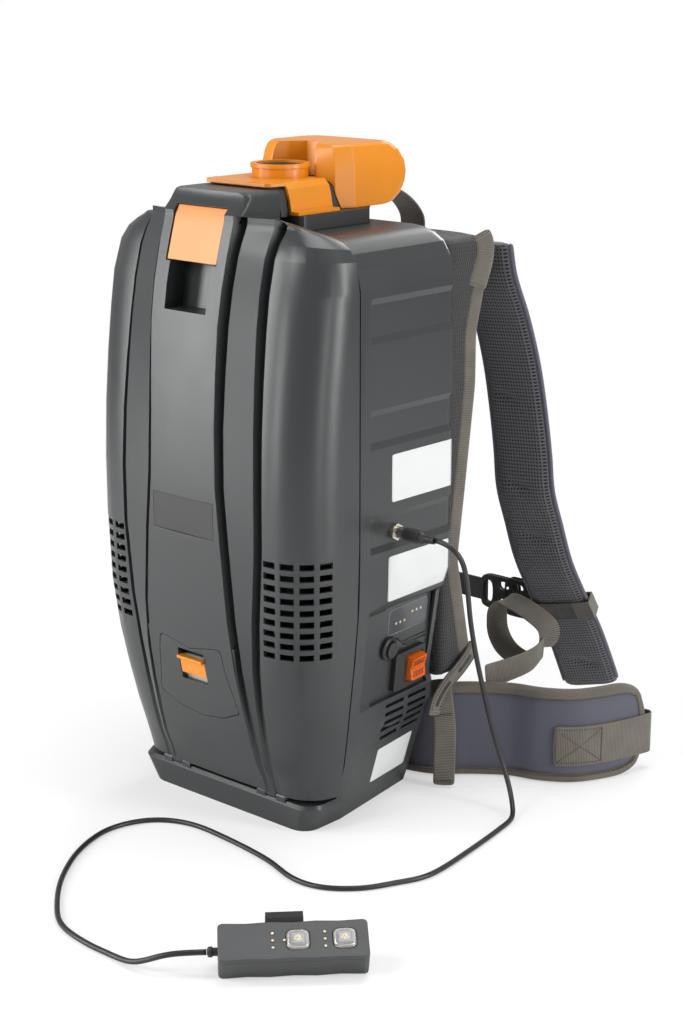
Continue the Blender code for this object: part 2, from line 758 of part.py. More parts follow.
def rear_housing():
    housing = level_loft("rear_housing", housing_section, housing_levels(), charcoal())
    join(housing, level_loft("lip", lip_section, (0, LIP_TOP * 0.88, LIP_TOP), charcoal()))
    inside = [z for z in housing_levels() if 12 * MM < z < HOUSING_TOP - 48 * MM]
    for degrees in (0, 25, 45, 60, 72, 82, 90):
        turn = 1 - math.sin(math.radians(degrees))
        inside.append(HOUSING_TOP - WALL - (HOUSING_SHOULDER - WALL) * turn)
    front = SPLIT_Y + WALL + MM
    low = [BASE_FLOOR] + [z for z in inside if z < LIP_TOP] + [LIP_TOP + HINGE_GAP]
    high = [LIP_TOP + 0.6 * HINGE_GAP] + [z for z in inside if z > LIP_TOP + HINGE_GAP]
    cut(
        housing,
        level_loft("low", lambda z: housing_hollow_section(z, front), low, charcoal()),
        level_loft("high", lambda z: housing_hollow_section(z, front - 20 * MM), high, charcoal()),
    )
    for side in (-1, 1):
        middle = side * HINGE_PIN_X
        half = HINGE_REACH + MM
        trough = x_cylinder(
            "trough", middle - half, middle + half, HINGE_Y, HINGE_Z, TROUGH_RADIUS, charcoal()
        )
        cut(housing, trough)
        for x in ear_positions(side):
            join(housing, hinge_barrel("ear", x, KNUCKLE_RADIUS, 2 * HINGE_GAP, 0))
        cut(housing, pin_bore(middle))
    top = HOUSING_TOP - 3 * WALL
    cut(
        housing,
        z_cylinder("orifice", ORIFICE_RADIUS, top, HOUSING_TOP + WALL, charcoal(), 32, (0, COLLAR_Y)),
    )
    cut_side_panel(housing)
    return housing


def cut_side_panel(housing):
    """Flat floor of the right side panel and the openings of what sits in it."""
    frame = PANEL_FRAME
    deep = 4 * (WALL + BAND_DEPTH)
    outline = [(-62 * MM, -24 * MM), (34 * MM, -24 * MM), (34 * MM, 76 * MM), (-48 * MM, 76 * MM)]
    cut(housing, prism("panel", outline, "z", -PANEL_SINK, deep, charcoal(), frame))
    opening = rectangle(SWITCH_OPENING[0], SWITCH_OPENING[1])
    cut(housing, prism("switch_hole", opening, "z", -deep, deep, charcoal(), frame))
    spot = (BREAKER_Y - SWITCH_Y, BREAKER_Z - SWITCH_Z)
    bore = circle(BREAKER_RADIUS - 3 * MM, 24, spot)
    cut(housing, prism("breaker_hole", bore, "z", -deep, deep, charcoal(), frame))
    sunken = rectangle(
        WINDOW_SIZE[0] + 2 * FIT_GAP, WINDOW_SIZE[1] + 2 * FIT_GAP, 4 * MM, WINDOW_SPOT
    )
    floor = -PANEL_SINK - WINDOW_THICKNESS
    cut(housing, prism("window_seat", sunken, "z", floor, deep, charcoal(), frame))
    side = HALF_WIDTH - WALL - BAND_DEPTH
    cut(
        housing,
        x_cylinder("socket_hole", side - deep, side + deep, SOCKET_Y, SOCKET_Z, SOCKET_BORE, charcoal()),
    )
    for row in range(SIDE_VENT_ROWS):
        z = SIDE_VENT_Z - row * SIDE_VENT_PITCH
        for column in range(2):
            y = SIDE_VENT_Y + column * (SIDE_VENT_LENGTH + 7 * MM)
            x = side_x(y, z)
            low = (x - deep, y, z - SIDE_VENT_HEIGHT / 2)
            high = (x + deep, y + SIDE_VENT_LENGTH, z + SIDE_VENT_HEIGHT / 2)
            cut(housing, box("vent", low, high, charcoal()))


def skin_strip(name, half, low, high, front, back, steps=6):
    """A block that follows the cover's middle between two depths under its surface."""
    line = []
    for i in range(steps + 1):
        z = low + (high - low) * i / steps
        line.append((spine_y(z), z))
    outline = [(y + front, z) for y, z in line] + [(y + back, z) for y, z in reversed(line)]
    return prism(name, outline, "x", -half, half, charcoal())


def front_cover():
    cover = cover_outer("front_cover")
    cut(cover, cover_hollow("hollow"))
    frame = skin_strip(
        "frame", POCKET_HALF + WALL, POCKET_BOTTOM - WALL, LATCH_TOP + WALL, MM, POCKET_DEPTH + WALL
    )
    join(cover, frame)
    cut(cover, skin_strip("finger", FINGER_HALF, POCKET_BOTTOM, LATCH_BOTTOM + 12 * MM, -20 * MM, POCKET_DEPTH))
    cut(
        cover,
        skin_strip(
            "latch_seat", POCKET_HALF, LATCH_BOTTOM - MM, LATCH_TOP + MM, -20 * MM, LATCH_SEAT
        ),
    )
    for side in (-1, 1):
        join(cover, hinge_barrel("knuckle", side * HINGE_PIN_X, KNUCKLE_RADIUS, 0, HINGE_GAP))
        for x in ear_positions(side):
            half = HINGE_REACH + MM / 2
            cut(
                cover,
                x_cylinder("trough", x - half, x + half, HINGE_Y, HINGE_Z, TROUGH_RADIUS, charcoal()),
            )
        cut(cover, pin_bore(side * HINGE_PIN_X))
    reach = POCKET_HALF + WALL / 2
    cut(cover, x_cylinder("pin_hole", -reach, reach, LATCH_PIN_Y, LATCH_PIN_Z, HOLE_RADIUS, charcoal()))
    floor = spine_y(BADGE_Z) + BADGE_THICKNESS + FIT_GAP
    low = (-BADGE_HALF_WIDTH - FIT_GAP, floor - 20 * MM, BADGE_Z - BADGE_HEIGHT / 2 - FIT_GAP)
    high = (BADGE_HALF_WIDTH + FIT_GAP, floor, BADGE_Z + BADGE_HEIGHT / 2 + FIT_GAP)
    cut(cover, box("badge_seat", low, high, charcoal()))
    cut_vents(cover)
    add_filter_frame(cover)
    return cover


def cut_vents(cover):
    """Rows of slots round both lobes, each cut square to the surface."""
    cutters = None
    for row in range(VENT_ROWS):
        z = VENT_TOP - VENT_HEIGHT / 2 - row * VENT_PITCH
        width, front = cover_half_width(z), lobe_y(z)
        centre = Vector((width - LOBE_CORNER, front + LOBE_CORNER))
        for turn in VENT_TURNS:
            angle = math.radians(turn)
            out = Vector((math.sin(angle), -math.cos(angle)))
            along = Vector((math.cos(angle), math.sin(angle))) * VENT_LENGTH / 2
            middle = centre + out * LOBE_CORNER
            outline = [middle + out * 5 * MM - along, middle + out * 5 * MM + along]
            outline += [middle - out * 8 * MM + along, middle - out * 8 * MM - along]
            for side in (-1, 1):
                points = [(side * x, y) for x, y in outline]
                low, high = z - VENT_HEIGHT / 2, z + VENT_HEIGHT / 2
                slot = prism("slot", points, "z", low, high, charcoal())
                cutters = slot if cutters is None else merge(cutters, slot)
    cut(cover, cutters)


def merge(first, second):
    """Adds the second object's separate mesh to the first's."""
    bm = bmesh.new()
    bm.from_mesh(first.data)
    bm.from_mesh(second.data)
    bm.to_mesh(first.data)
    bm.free()
    bpy.data.objects.remove(second, do_unlink=True)
    return first


def hatch_outline(inset):
    """(x, z) points of the hatch's edge, moved in by the inset."""
    top, bottom = HATCH_TOP - inset, HATCH_BOTTOM + inset
    upper, lower = HATCH_TOP_HALF - inset, HATCH_HALF_WIDTH - inset
    middle = (top + 2 * bottom) / 3
    right = [(0.55 * lower, bottom + 4 * MM), (0.97 * lower, bottom + 14 * MM)]
    right += [(lower, bottom + 18 * MM), (0.5 * (lower + upper) + MM, middle + 14 * MM)]
    right += [(upper + MM, top - 3 * MM), (0.94 * upper, top), (0.6 * upper, top - 2 * MM)]
    left = [(-x, z) for x, z in reversed(right)]
    return [(0, bottom)] + right + [(0, top - 7 * MM)] + left


def add_filter_frame(cover):
    """Seat of the hatch and, behind it, the open tray of the exhaust filter."""
    seat = WALL + HATCH_SEAT
    half, low, high = EXHAUST_HALF, EXHAUST_LOW, EXHAUST_HIGH
    margin = FIT_GAP + WALL
    edge = 5 * MM
    join(
        cover,
        skin_strip(
            "seat", HATCH_HALF_WIDTH + edge, HATCH_BOTTOM - edge, HATCH_TOP + edge, WALL - MM, seat + WALL
        ),
        skin_strip(
            "tray", half + margin, low - margin, high + margin, seat + MM, seat + EXHAUST_DEPTH + WALL
        ),
    )
    window = prism("window", hatch_outline(0), "y", -HALF_WIDTH, SPLIT_Y, charcoal())
    reach = skin_strip("reach", HATCH_HALF_WIDTH + edge, HATCH_BOTTOM - edge, HATCH_TOP + edge, -20 * MM, seat)
    boolean(window, reach, "INTERSECT")
    cut(
        cover,
        window,
        skin_strip("pocket", half + FIT_GAP, low - FIT_GAP, high + FIT_GAP, WALL, seat + EXHAUST_DEPTH),
        skin_strip("airway", half - edge, low + edge, high - edge, WALL, seat + 2 * EXHAUST_DEPTH),
    )


def cover_fittings():
    latch = skin_strip("cover_latch", LATCH_HALF_WIDTH, LATCH_BOTTOM, LATCH_TOP, MM, MM + LATCH_THICKNESS)
    latch.data.materials[0] = orange()
    barrel = x_cylinder(
        "barrel", -LATCH_HALF_WIDTH, LATCH_HALF_WIDTH, LATCH_PIN_Y, LATCH_PIN_Z, 2 * PIN_RADIUS, orange()
    )
    join(latch, barrel)
    bore = x_cylinder("bore", -HALF_WIDTH, HALF_WIDTH, LATCH_PIN_Y, LATCH_PIN_Z, HOLE_RADIUS, orange())
    cut(latch, bore)
    reach = POCKET_HALF + WALL / 2 - FIT_GAP
    x_cylinder("latch_pin", -reach, reach, LATCH_PIN_Y, LATCH_PIN_Z, PIN_RADIUS, steel(), 12)
    for side, name in ((-1, "left"), (1, "right")):
        low = side * HINGE_PIN_X - 1.6 * KNUCKLE_WIDTH
        high = side * HINGE_PIN_X + 1.6 * KNUCKLE_WIDTH
        x_cylinder("hinge_pin_" + name, low, high, HINGE_Y, HINGE_Z, PIN_RADIUS, steel(), 12)
    front = spine_y(BADGE_Z)
    half = BADGE_HEIGHT / 2
    box(
        "badge_plate",
        (-BADGE_HALF_WIDTH, front, BADGE_Z - half),
        (BADGE_HALF_WIDTH, front + BADGE_THICKNESS, BADGE_Z + half),
        dark_plastic(),
    )


def filter_hatch():
    hatch = cover_outer("filter_hatch")
    cut(hatch, cover_hollow("hollow"))
    keep = prism("keep", hatch_outline(SEAM), "y", -HALF_WIDTH, SPLIT_Y - MM, charcoal())
    boolean(hatch, keep, "INTERSECT")
    low = HATCH_LATCH_TOP - HATCH_LATCH_HEIGHT - HATCH_LATCH_TRAVEL - SEAM
    high = HATCH_LATCH_TOP + FINGER_SLOT
    half = HATCH_LATCH_HALF + SEAM
    slot = box("slot", (-half, -HALF_WIDTH, low), (half, SPLIT_Y, high), charcoal())
    cut(hatch, slot)
    bottom = HATCH_LATCH_TOP - HATCH_LATCH_HEIGHT
    latch = skin_strip("hatch_latch", HATCH_LATCH_HALF, bottom, HATCH_LATCH_TOP, 0, WALL, 2)
    latch.data.materials[0] = orange()
    lip = skin_strip("lip", HATCH_LATCH_HALF, HATCH_LATCH_TOP - WALL, HATCH_LATCH_TOP, -4 * MM, MM, 1)
    join(latch, lip)
    front, back = WALL + HATCH_SEAT / 2, WALL + HATCH_SEAT + EXHAUST_DEPTH - FIT_GAP
    pad = skin_strip("exhaust_filter", EXHAUST_HALF, EXHAUST_LOW, EXHAUST_HIGH, front, back)
    pad.data.materials[0] = material("white_filter", (0.6, 0.6, 0.57), 0.95)


# ---- deck, inlet and hood --------------------------------------------------------------
def arch(half_top, half_foot, foot, top, raised):
    """(x, z) outline of the raised middle of the deck, grown outward by a thickness."""
    right = [(half_foot + raised, foot), (half_top + 4 * MM + raised, foot + 0.62 * (top - foot))]
    right += [(half_top + 2 * MM + 0.9 * raised, top - 4 * MM + raised / 2)]
    right += [(half_top - 2 * MM + raised / 2, top + raised)]
    return right + [(-x, z) for x, z in reversed(right)]


def top_deck():
    deck_low = HOUSING_TOP + FIT_GAP
    deck_high = deck_low + DECK_THICKNESS
    outline = rectangle(
        2 * DECK_HALF_WIDTH, DECK_BACK_Y - DECK_FRONT_Y, 8 * MM, (0, (DECK_BACK_Y + DECK_FRONT_Y) / 2)
    )
    deck = prism("top_deck", outline, "z", deck_low, deck_high, dark_plastic())
    ridge = arch(RIDGE_TOP_HALF, RIDGE_HALF_WIDTH, deck_high - MM, DECK_RIDGE_TOP, 0)
    join(deck, prism("ridge", ridge, "y", DECK_RIDGE_FRONT, DECK_BACK_Y - 8 * MM, dark_plastic()))
    bore = z_cylinder(
        "bore", ORIFICE_RADIUS, deck_low - MM, DECK_RIDGE_TOP + MM, dark_plastic(), 32, (0, COLLAR_Y)
    )
    cut(deck, bore)


def inlet_saddle():
    foot = HOUSING_TOP + DECK_THICKNESS + 2 * FIT_GAP
    outer = arch(RIDGE_TOP_HALF, RIDGE_HALF_WIDTH, foot, DECK_RIDGE_TOP, FIT_GAP + SADDLE_THICKNESS)
    inner = arch(RIDGE_TOP_HALF, RIDGE_HALF_WIDTH, foot, DECK_RIDGE_TOP, FIT_GAP)
    saddle = prism("inlet_saddle", outer, "y", DECK_FRONT_Y, SADDLE_BACK_Y, orange())
    foot_reach = RIDGE_HALF_WIDTH + 12 * MM
    for side in (-1, 1):
        xs = sorted((side * (RIDGE_HALF_WIDTH + MM), side * foot_reach))
        low = (xs[0], DECK_FRONT_Y, foot)
        join(saddle, box("foot", low, (xs[1], SADDLE_BACK_Y, foot + SADDLE_THICKNESS), orange()))
    cut(saddle, prism("inner", inner_void(inner, foot), "y", SPLIT_Y - 20 * MM, SADDLE_BACK_Y + 5 * MM, orange()))
    plate_low = DECK_RIDGE_TOP + FIT_GAP
    top = plate_low + SADDLE_THICKNESS
    tongue_half = RIDGE_TOP_HALF - MM
    front = SPLIT_Y - SADDLE_LIP
    tongue = [(-tongue_half - 3 * MM, DECK_FRONT_Y + MM), (-tongue_half, front + 4 * MM)]
    tongue += [(-tongue_half + 4 * MM, front), (tongue_half - 4 * MM, front)]
    tongue += [(tongue_half, front + 4 * MM), (tongue_half + 3 * MM, DECK_FRONT_Y + MM)]
    join(saddle, prism("tongue", tongue, "z", plate_low, top, orange()))
    rim = top + COLLAR_HEIGHT
    low = plate_low + MM / 2
    centre = (0, COLLAR_Y)
    join(
        saddle,
        z_cylinder("collar", COLLAR_RADIUS, low, rim, orange(), 40, centre),
        z_cylinder("rim", COLLAR_RADIUS + 1.5 * MM, rim - 4 * MM, rim, orange(), 40, centre),
    )
    cut(saddle, z_cylinder("bore", COLLAR_BORE, plate_low - 9 * MM, rim + MM, orange(), 40, centre))


def inner_void(inner, foot):
    """The arch's inner outline carried down past the feet."""
    below = foot - 10 * MM
    return [(inner[0][0], below)] + inner + [(inner[-1][0], below)]


def inlet_parts():
    frame = Matrix.Translation((0, COLLAR_Y, 0))
    top = DECK_RIDGE_TOP + COLLAR_HEIGHT + SADDLE_THICKNESS
    seal = [
        (PIPE_RADIUS - 3 * MM, top - 3 * MM),
        (COLLAR_BORE - FIT_GAP, top - 2 * MM),
        (COLLAR_BORE - FIT_GAP, top - 10 * MM),
        (PIPE_RADIUS - 2 * MM, top - 10 * MM),
    ]
    turned("inlet_seal", seal, 32, material("rubber", (0.03, 0.03, 0.03), 0.7), frame)
    low = BAG_TOP + MM
    pipe = [
        (PIPE_RADIUS - PIPE_WALL, low),
        (PIPE_RADIUS, low),
        (PIPE_RADIUS, top - 10.5 * MM),
        (PIPE_RADIUS - PIPE_WALL, top - 10.5 * MM),
    ]
    turned("inlet_pipe", pipe, 32, dark_plastic(), frame)
    plate = box(
        "bag_plate",
        (-50 * MM, COLLAR_Y - 45 * MM, BAG_TOP + FIT_GAP),
        (50 * MM, COLLAR_Y + 45 * MM, BAG_TOP + BAG_PLATE),
        material("card", (0.35, 0.25, 0.16), 0.9),
    )
    cut(plate, z_cylinder("hole", ORIFICE_RADIUS, BAG_TOP - MM, BAG_TOP + 9 * MM, dark_plastic(), 32, (0, COLLAR_Y)))
    bag = []
    for share, size in ((0, 0.8), (0.06, 0.95), (0.3, 1), (0.75, 1), (0.95, 0.92), (1, 0.75)):
        z = BAG_LOW + share * (BAG_TOP - BAG_LOW)
        centre = (0, BAG_Y)
        outline = rectangle(2 * BAG_HALF_WIDTH * size, BAG_DEPTH * size, 30 * MM * size, centre, 4)
        bag.append([Vector((x, y, z)) for x, y in outline])
    loft("dust_bag", bag, material("fleece", (0.62, 0.6, 0.55), 0.95))


def rear_hood():
    foot = HOUSING_TOP + DECK_THICKNESS + 2 * FIT_GAP
    radius = (HOOD_TOP - foot) / 2
    rings = []
    for degrees in (-90, -70, -45, -20, 0, 20, 45, 65, 80, 90):
        turn = math.radians(degrees)
        z = foot + radius * (1 + math.sin(turn))
        back = HOOD_BACK_Y - radius * (1 - math.cos(turn))
        edge = 9 * MM * (1 - math.cos(max(turn, 0)))
        half = HOOD_HALF_WIDTH - edge
        nose = HOOD_CORNER
        line = [(half - nose, HOOD_FRONT_Y + edge)]
        line += [(half - nose * 0.35, HOOD_FRONT_Y + nose * 0.3 + edge / 2), (half, HOOD_FRONT_Y + nose)]
        line += corner_arc(half, back, 16 * MM, 4, rise=1)
        ring = line + [(-x, y) for x, y in reversed(line)]
        rings.append([Vector((x, y, z)) for x, y in ring])
    hood = loft("rear_hood", rings, orange())
    deck_clear = DECK_RIDGE_TOP + FIT_GAP
    void = inner_void(
        arch(RIDGE_TOP_HALF, RIDGE_HALF_WIDTH, foot, DECK_RIDGE_TOP, FIT_GAP), foot
    )
    cut(hood, prism("deck_void", void, "y", -HALF_WIDTH, DECK_BACK_Y - 8 * MM + FIT_GAP, orange()))
    pocket = [(-33 * MM, -20 * MM), (33 * MM, -20 * MM), (31 * MM, COLLAR_Y + 12 * MM)]
    pocket += [(24 * MM, COLLAR_Y + 25 * MM), (9 * MM, COLLAR_Y + HOOD_POCKET_BACK - 4 * MM)]
    pocket += [(-9 * MM, COLLAR_Y + HOOD_POCKET_BACK - 4 * MM), (-24 * MM, COLLAR_Y + 25 * MM)]
    pocket += [(-31 * MM, COLLAR_Y + 12 * MM)]
    cut(hood, prism("pocket", pocket, "z", deck_clear - 30 * MM, HOOD_TOP + MM, orange()))


# ---- inside the housing ------------------------------------------------------------------
def insides():
    floor = plate_in_housing("chamber_floor", FLOOR_Z, FLOOR_THICKNESS, dark_plastic())
    cut(
        floor,
        z_cylinder("hole", FAN_RADIUS - 14 * MM, FLOOR_Z - MM, FLOOR_Z + 9 * MM, dark_plastic(), 32, (0, MOTOR_Y)),
    )
    pad = FLOOR_Z + FLOOR_THICKNESS + FIT_GAP
    box(
        "motor_filter",
        (-FILTER_HALF, MOTOR_Y - FILTER_HALF + 4 * MM, pad),
        (FILTER_HALF, MOTOR_Y + FILTER_HALF, pad + FILTER_THICKNESS),
        material("blue_foam", (0.1, 0.16, 0.25), 0.95),
    )
    frame = Matrix.Translation((0, MOTOR_Y, 0))
    top = FLOOR_Z - FIT_GAP
    low = top - FAN_HEIGHT
    shroud = [
        (FAN_RADIUS - 16 * MM, top),
        (FAN_RADIUS + 3 * MM, top),
        (FAN_RADIUS + 3 * MM, low),
        (FAN_RADIUS, low),
        (FAN_RADIUS, top - 3 * MM),
        (FAN_RADIUS - 16 * MM, top - 3 * MM),
    ]
    turned("fan_shroud", shroud, 40, dark_plastic(), frame)
    motor_top = low - FIT_GAP
    motor_low = motor_top - MOTOR_HEIGHT
    body = [(FAN_RADIUS + 3 * MM, motor_top), (FAN_RADIUS + 3 * MM, motor_top - 4 * MM)]
    body += [(MOTOR_RADIUS, motor_top - 7 * MM), (MOTOR_RADIUS, motor_low), (SHAFT_BORE, motor_low)]
    body += [(SHAFT_BORE, motor_top)]
    turned("motor", body, 36, material("motor_grey", (0.25, 0.25, 0.26), 0.45, 0.6), frame)
    impeller(motor_top)
    plate_top = motor_low - FIT_GAP
    plate = plate_in_housing("motor_plate", plate_top - 5 * MM, 5 * MM, dark_plastic())
    reach = BEZEL_SIZE[0] / 2 + 2 * MM
    low = (HALF_WIDTH - 50 * MM, SWITCH_Y - reach, plate_top - 9 * MM)
    cut(plate, box("notch", low, (HALF_WIDTH, SWITCH_Y + reach, plate_top + MM), dark_plastic()))
    battery_top = plate_top - 5 * MM - FIT_GAP
    box(
        "battery_pack",
        (-BATTERY_HALF_WIDTH, -42 * MM, BASE_FLOOR + FIT_GAP),
        (BATTERY_HALF_WIDTH, -42 * MM + BATTERY_DEPTH, battery_top),
        dark_plastic(),
    )
    board_y = -42 * MM + BATTERY_DEPTH + 12 * MM
    box(
        "control_board",
        (-60 * MM, board_y, BASE_FLOOR + FIT_GAP),
        (60 * MM, board_y + BOARD_THICKNESS, battery_top),
        material("circuit_board", (0.02, 0.12, 0.06), 0.5),
    )


def impeller(motor_top):
    """Fan wheel on its shaft, with curved blades between two plates."""
    low = motor_top + 2 * MM
    centre = (0, MOTOR_Y)
    radius = FAN_RADIUS - 3 * MM
    wheel = z_cylinder("fan_impeller", radius, low, low + 2 * MM, steel(), 36, centre)
    shaft = z_cylinder("shaft", SHAFT_RADIUS, motor_top - 24 * MM, low + MM, steel(), 16, centre)
    hub = z_cylinder("hub", 9 * MM, low + MM, low + 22 * MM, steel(), 20, centre)
    join(wheel, shaft, hub)
    for blade in range(FAN_BLADES):
        turn = 2 * math.pi * blade / FAN_BLADES
        line = []
        for step in range(5):
            share = step / 4
            reach = 7 * MM + (radius - 10 * MM) * share
            angle = turn + 0.9 * share
            line.append((reach * math.cos(angle), MOTOR_Y + reach * math.sin(angle)))
        outline = inset_line(line, MM / 2) + list(reversed(inset_line(line, -MM / 2)))
        join(wheel, prism("blade", outline, "z", low + MM, low + 18 * MM, steel()))


# ---- right side panel ----------------------------------------------------------------------
def side_fittings():
    frame = PANEL_FRAME
    seat = -PANEL_SINK + FIT_GAP
    top = seat + BEZEL_THICKNESS
    bezel = prism("switch_bezel", rectangle(*BEZEL_SIZE, 3 * MM), "z", seat, top, dark_plastic(), frame)
    neck = rectangle(SWITCH_OPENING[0] - 2 * FIT_GAP, SWITCH_OPENING[1] - 2 * FIT_GAP)
    join(bezel, prism("body", neck, "z", -16 * MM, seat + MM, dark_plastic(), frame))
    well = rectangle(ROCKER_SIZE[0] + 2 * SEAM, ROCKER_SIZE[1] + 2 * SEAM, 0, (ROCKER_SHIFT, 0))
    cut(bezel, prism("well", well, "z", -12 * MM, top + MM, dark_plastic(), frame))
    half_v, half_u = ROCKER_SIZE[1] / 2, ROCKER_SIZE[0] / 2
    proud = top - BEZEL_THICKNESS + ROCKER_PROUD
    side = [(-half_v + MM, -3 * MM), (half_v - MM, -3 * MM), (half_v - MM, top - MM)]
    side += [(half_v - 3 * MM, proud), (0, proud - 2 * MM), (-half_v + 3 * MM, proud), (-half_v + MM, top - MM)]
    place = frame @ Matrix(((0, 0, 1, ROCKER_SHIFT), (1, 0, 0, 0), (0, 1, 0, 0), (0, 0, 0, 1)))
    prism(
        "switch_rocker", side, "z", -half_u, half_u, material("amber_rocker", (0.85, 0.2, 0.02), 0.25), place
    )
    spot = Vector((BREAKER_Y - SWITCH_Y, BREAKER_Z - SWITCH_Z, 0))
    at = frame @ Matrix.Translation(spot)
    ring = [
        (BUTTON_RADIUS + FIT_GAP, -10 * MM),
        (BREAKER_RADIUS - 3 * MM - FIT_GAP, -10 * MM),
        (BREAKER_RADIUS - 3 * MM - FIT_GAP, seat),
        (BREAKER_RADIUS, seat),
        (BREAKER_RADIUS, seat + 3 * MM),
        (BREAKER_RADIUS - 2 * MM, seat + 5 * MM),
        (BUTTON_RADIUS + FIT_GAP, seat + 4 * MM),
    ]
    turned("breaker_body", ring, 28, dark_plastic(), at)
    face = seat + 4 * MM + BUTTON_TRAVEL
    prism("breaker_button", circle(BUTTON_RADIUS, 28), "z", -6 * MM, face, dark_plastic(), at)
    window = rectangle(*WINDOW_SIZE, 4 * MM, WINDOW_SPOT)
    glass = material("window_glass", (0.02, 0.02, 0.022), 0.1)
    floor = -PANEL_SINK - WINDOW_THICKNESS + FIT_GAP
    prism("display_window", window, "z", floor, floor + WINDOW_THICKNESS, glass, frame)


def connector():
    """Round socket in the side and the plug of the control cord in it."""
    wall = side_x(SOCKET_Y, SOCKET_Z)
    frame = Matrix.Translation((0, SOCKET_Y, SOCKET_Z)) @ Matrix.Rotation(math.pi / 2, 4, "Y")
    nut = prism("connector_socket", circle(SOCKET_NUT, 6), "z", wall + FIT_GAP, wall + 5 * MM, steel(), frame)
    barrel = circle(SOCKET_BORE - FIT_GAP, 24)
    join(nut, prism("barrel", barrel, "z", wall - 12 * MM, wall + 14 * MM, steel(), frame))
    bore = circle(SOCKET_BORE - 2 * MM, 20)
    cut(nut, prism("bore", bore, "z", wall - 4 * MM, wall + 20 * MM, steel(), frame))
    inside = wall - 3 * MM
    profile = [(0.4 * MM, inside), (SOCKET_BORE - 2.4 * MM, inside), (SOCKET_BORE - 2.4 * MM, wall + 14.4 * MM)]
    profile += [(PLUG_RADIUS, wall + 14.4 * MM), (PLUG_RADIUS, wall + 14 * MM + 0.6 * PLUG_LENGTH)]
    profile += [(0.75 * PLUG_RADIUS, wall + 14 * MM + 0.7 * PLUG_LENGTH)]
    profile += [(CORD_DIAMETER / 2 + MM, wall + 14 * MM + PLUG_LENGTH), (0.4 * MM, wall + 14 * MM + PLUG_LENGTH)]
    rings = []
    for radius, along in profile[1:-1]:
        rings.append([frame @ Vector((x, y, along)) for x, y in circle(radius, 24)])
    loft("cord_plug", rings, dark_plastic())


# ---- hand control -----------------------------------------------------------------------------
def remote_outline(inset):
    """Outline of the hand control with shallow waves along both long sides."""
    length, width = REMOTE_LENGTH, REMOTE_WIDTH
    front = []
    for i in range(13):
        share = i / 12
        wave = 0.9 * MM * (1 - math.cos(share * 6 * math.pi)) / 2
        front.append((4 * MM + (length - 8 * MM) * share, inset + wave))
    side = [(length - MM - inset / 2, 1.2 * MM + inset / 2), (length - inset, 4 * MM)]
    back = [(x, width - y) for x, y in reversed(front)]
    left = [(MM + inset / 2, width - 1.2 * MM - inset / 2), (inset, width - 4 * MM)]
    left += [(inset, 4 * MM), (MM + inset / 2, 1.2 * MM + inset / 2)]
    side += [(length - inset, width - 4 * MM), (length - MM - inset / 2, width - 1.2 * MM - inset / 2)]
    return front + side + back + left


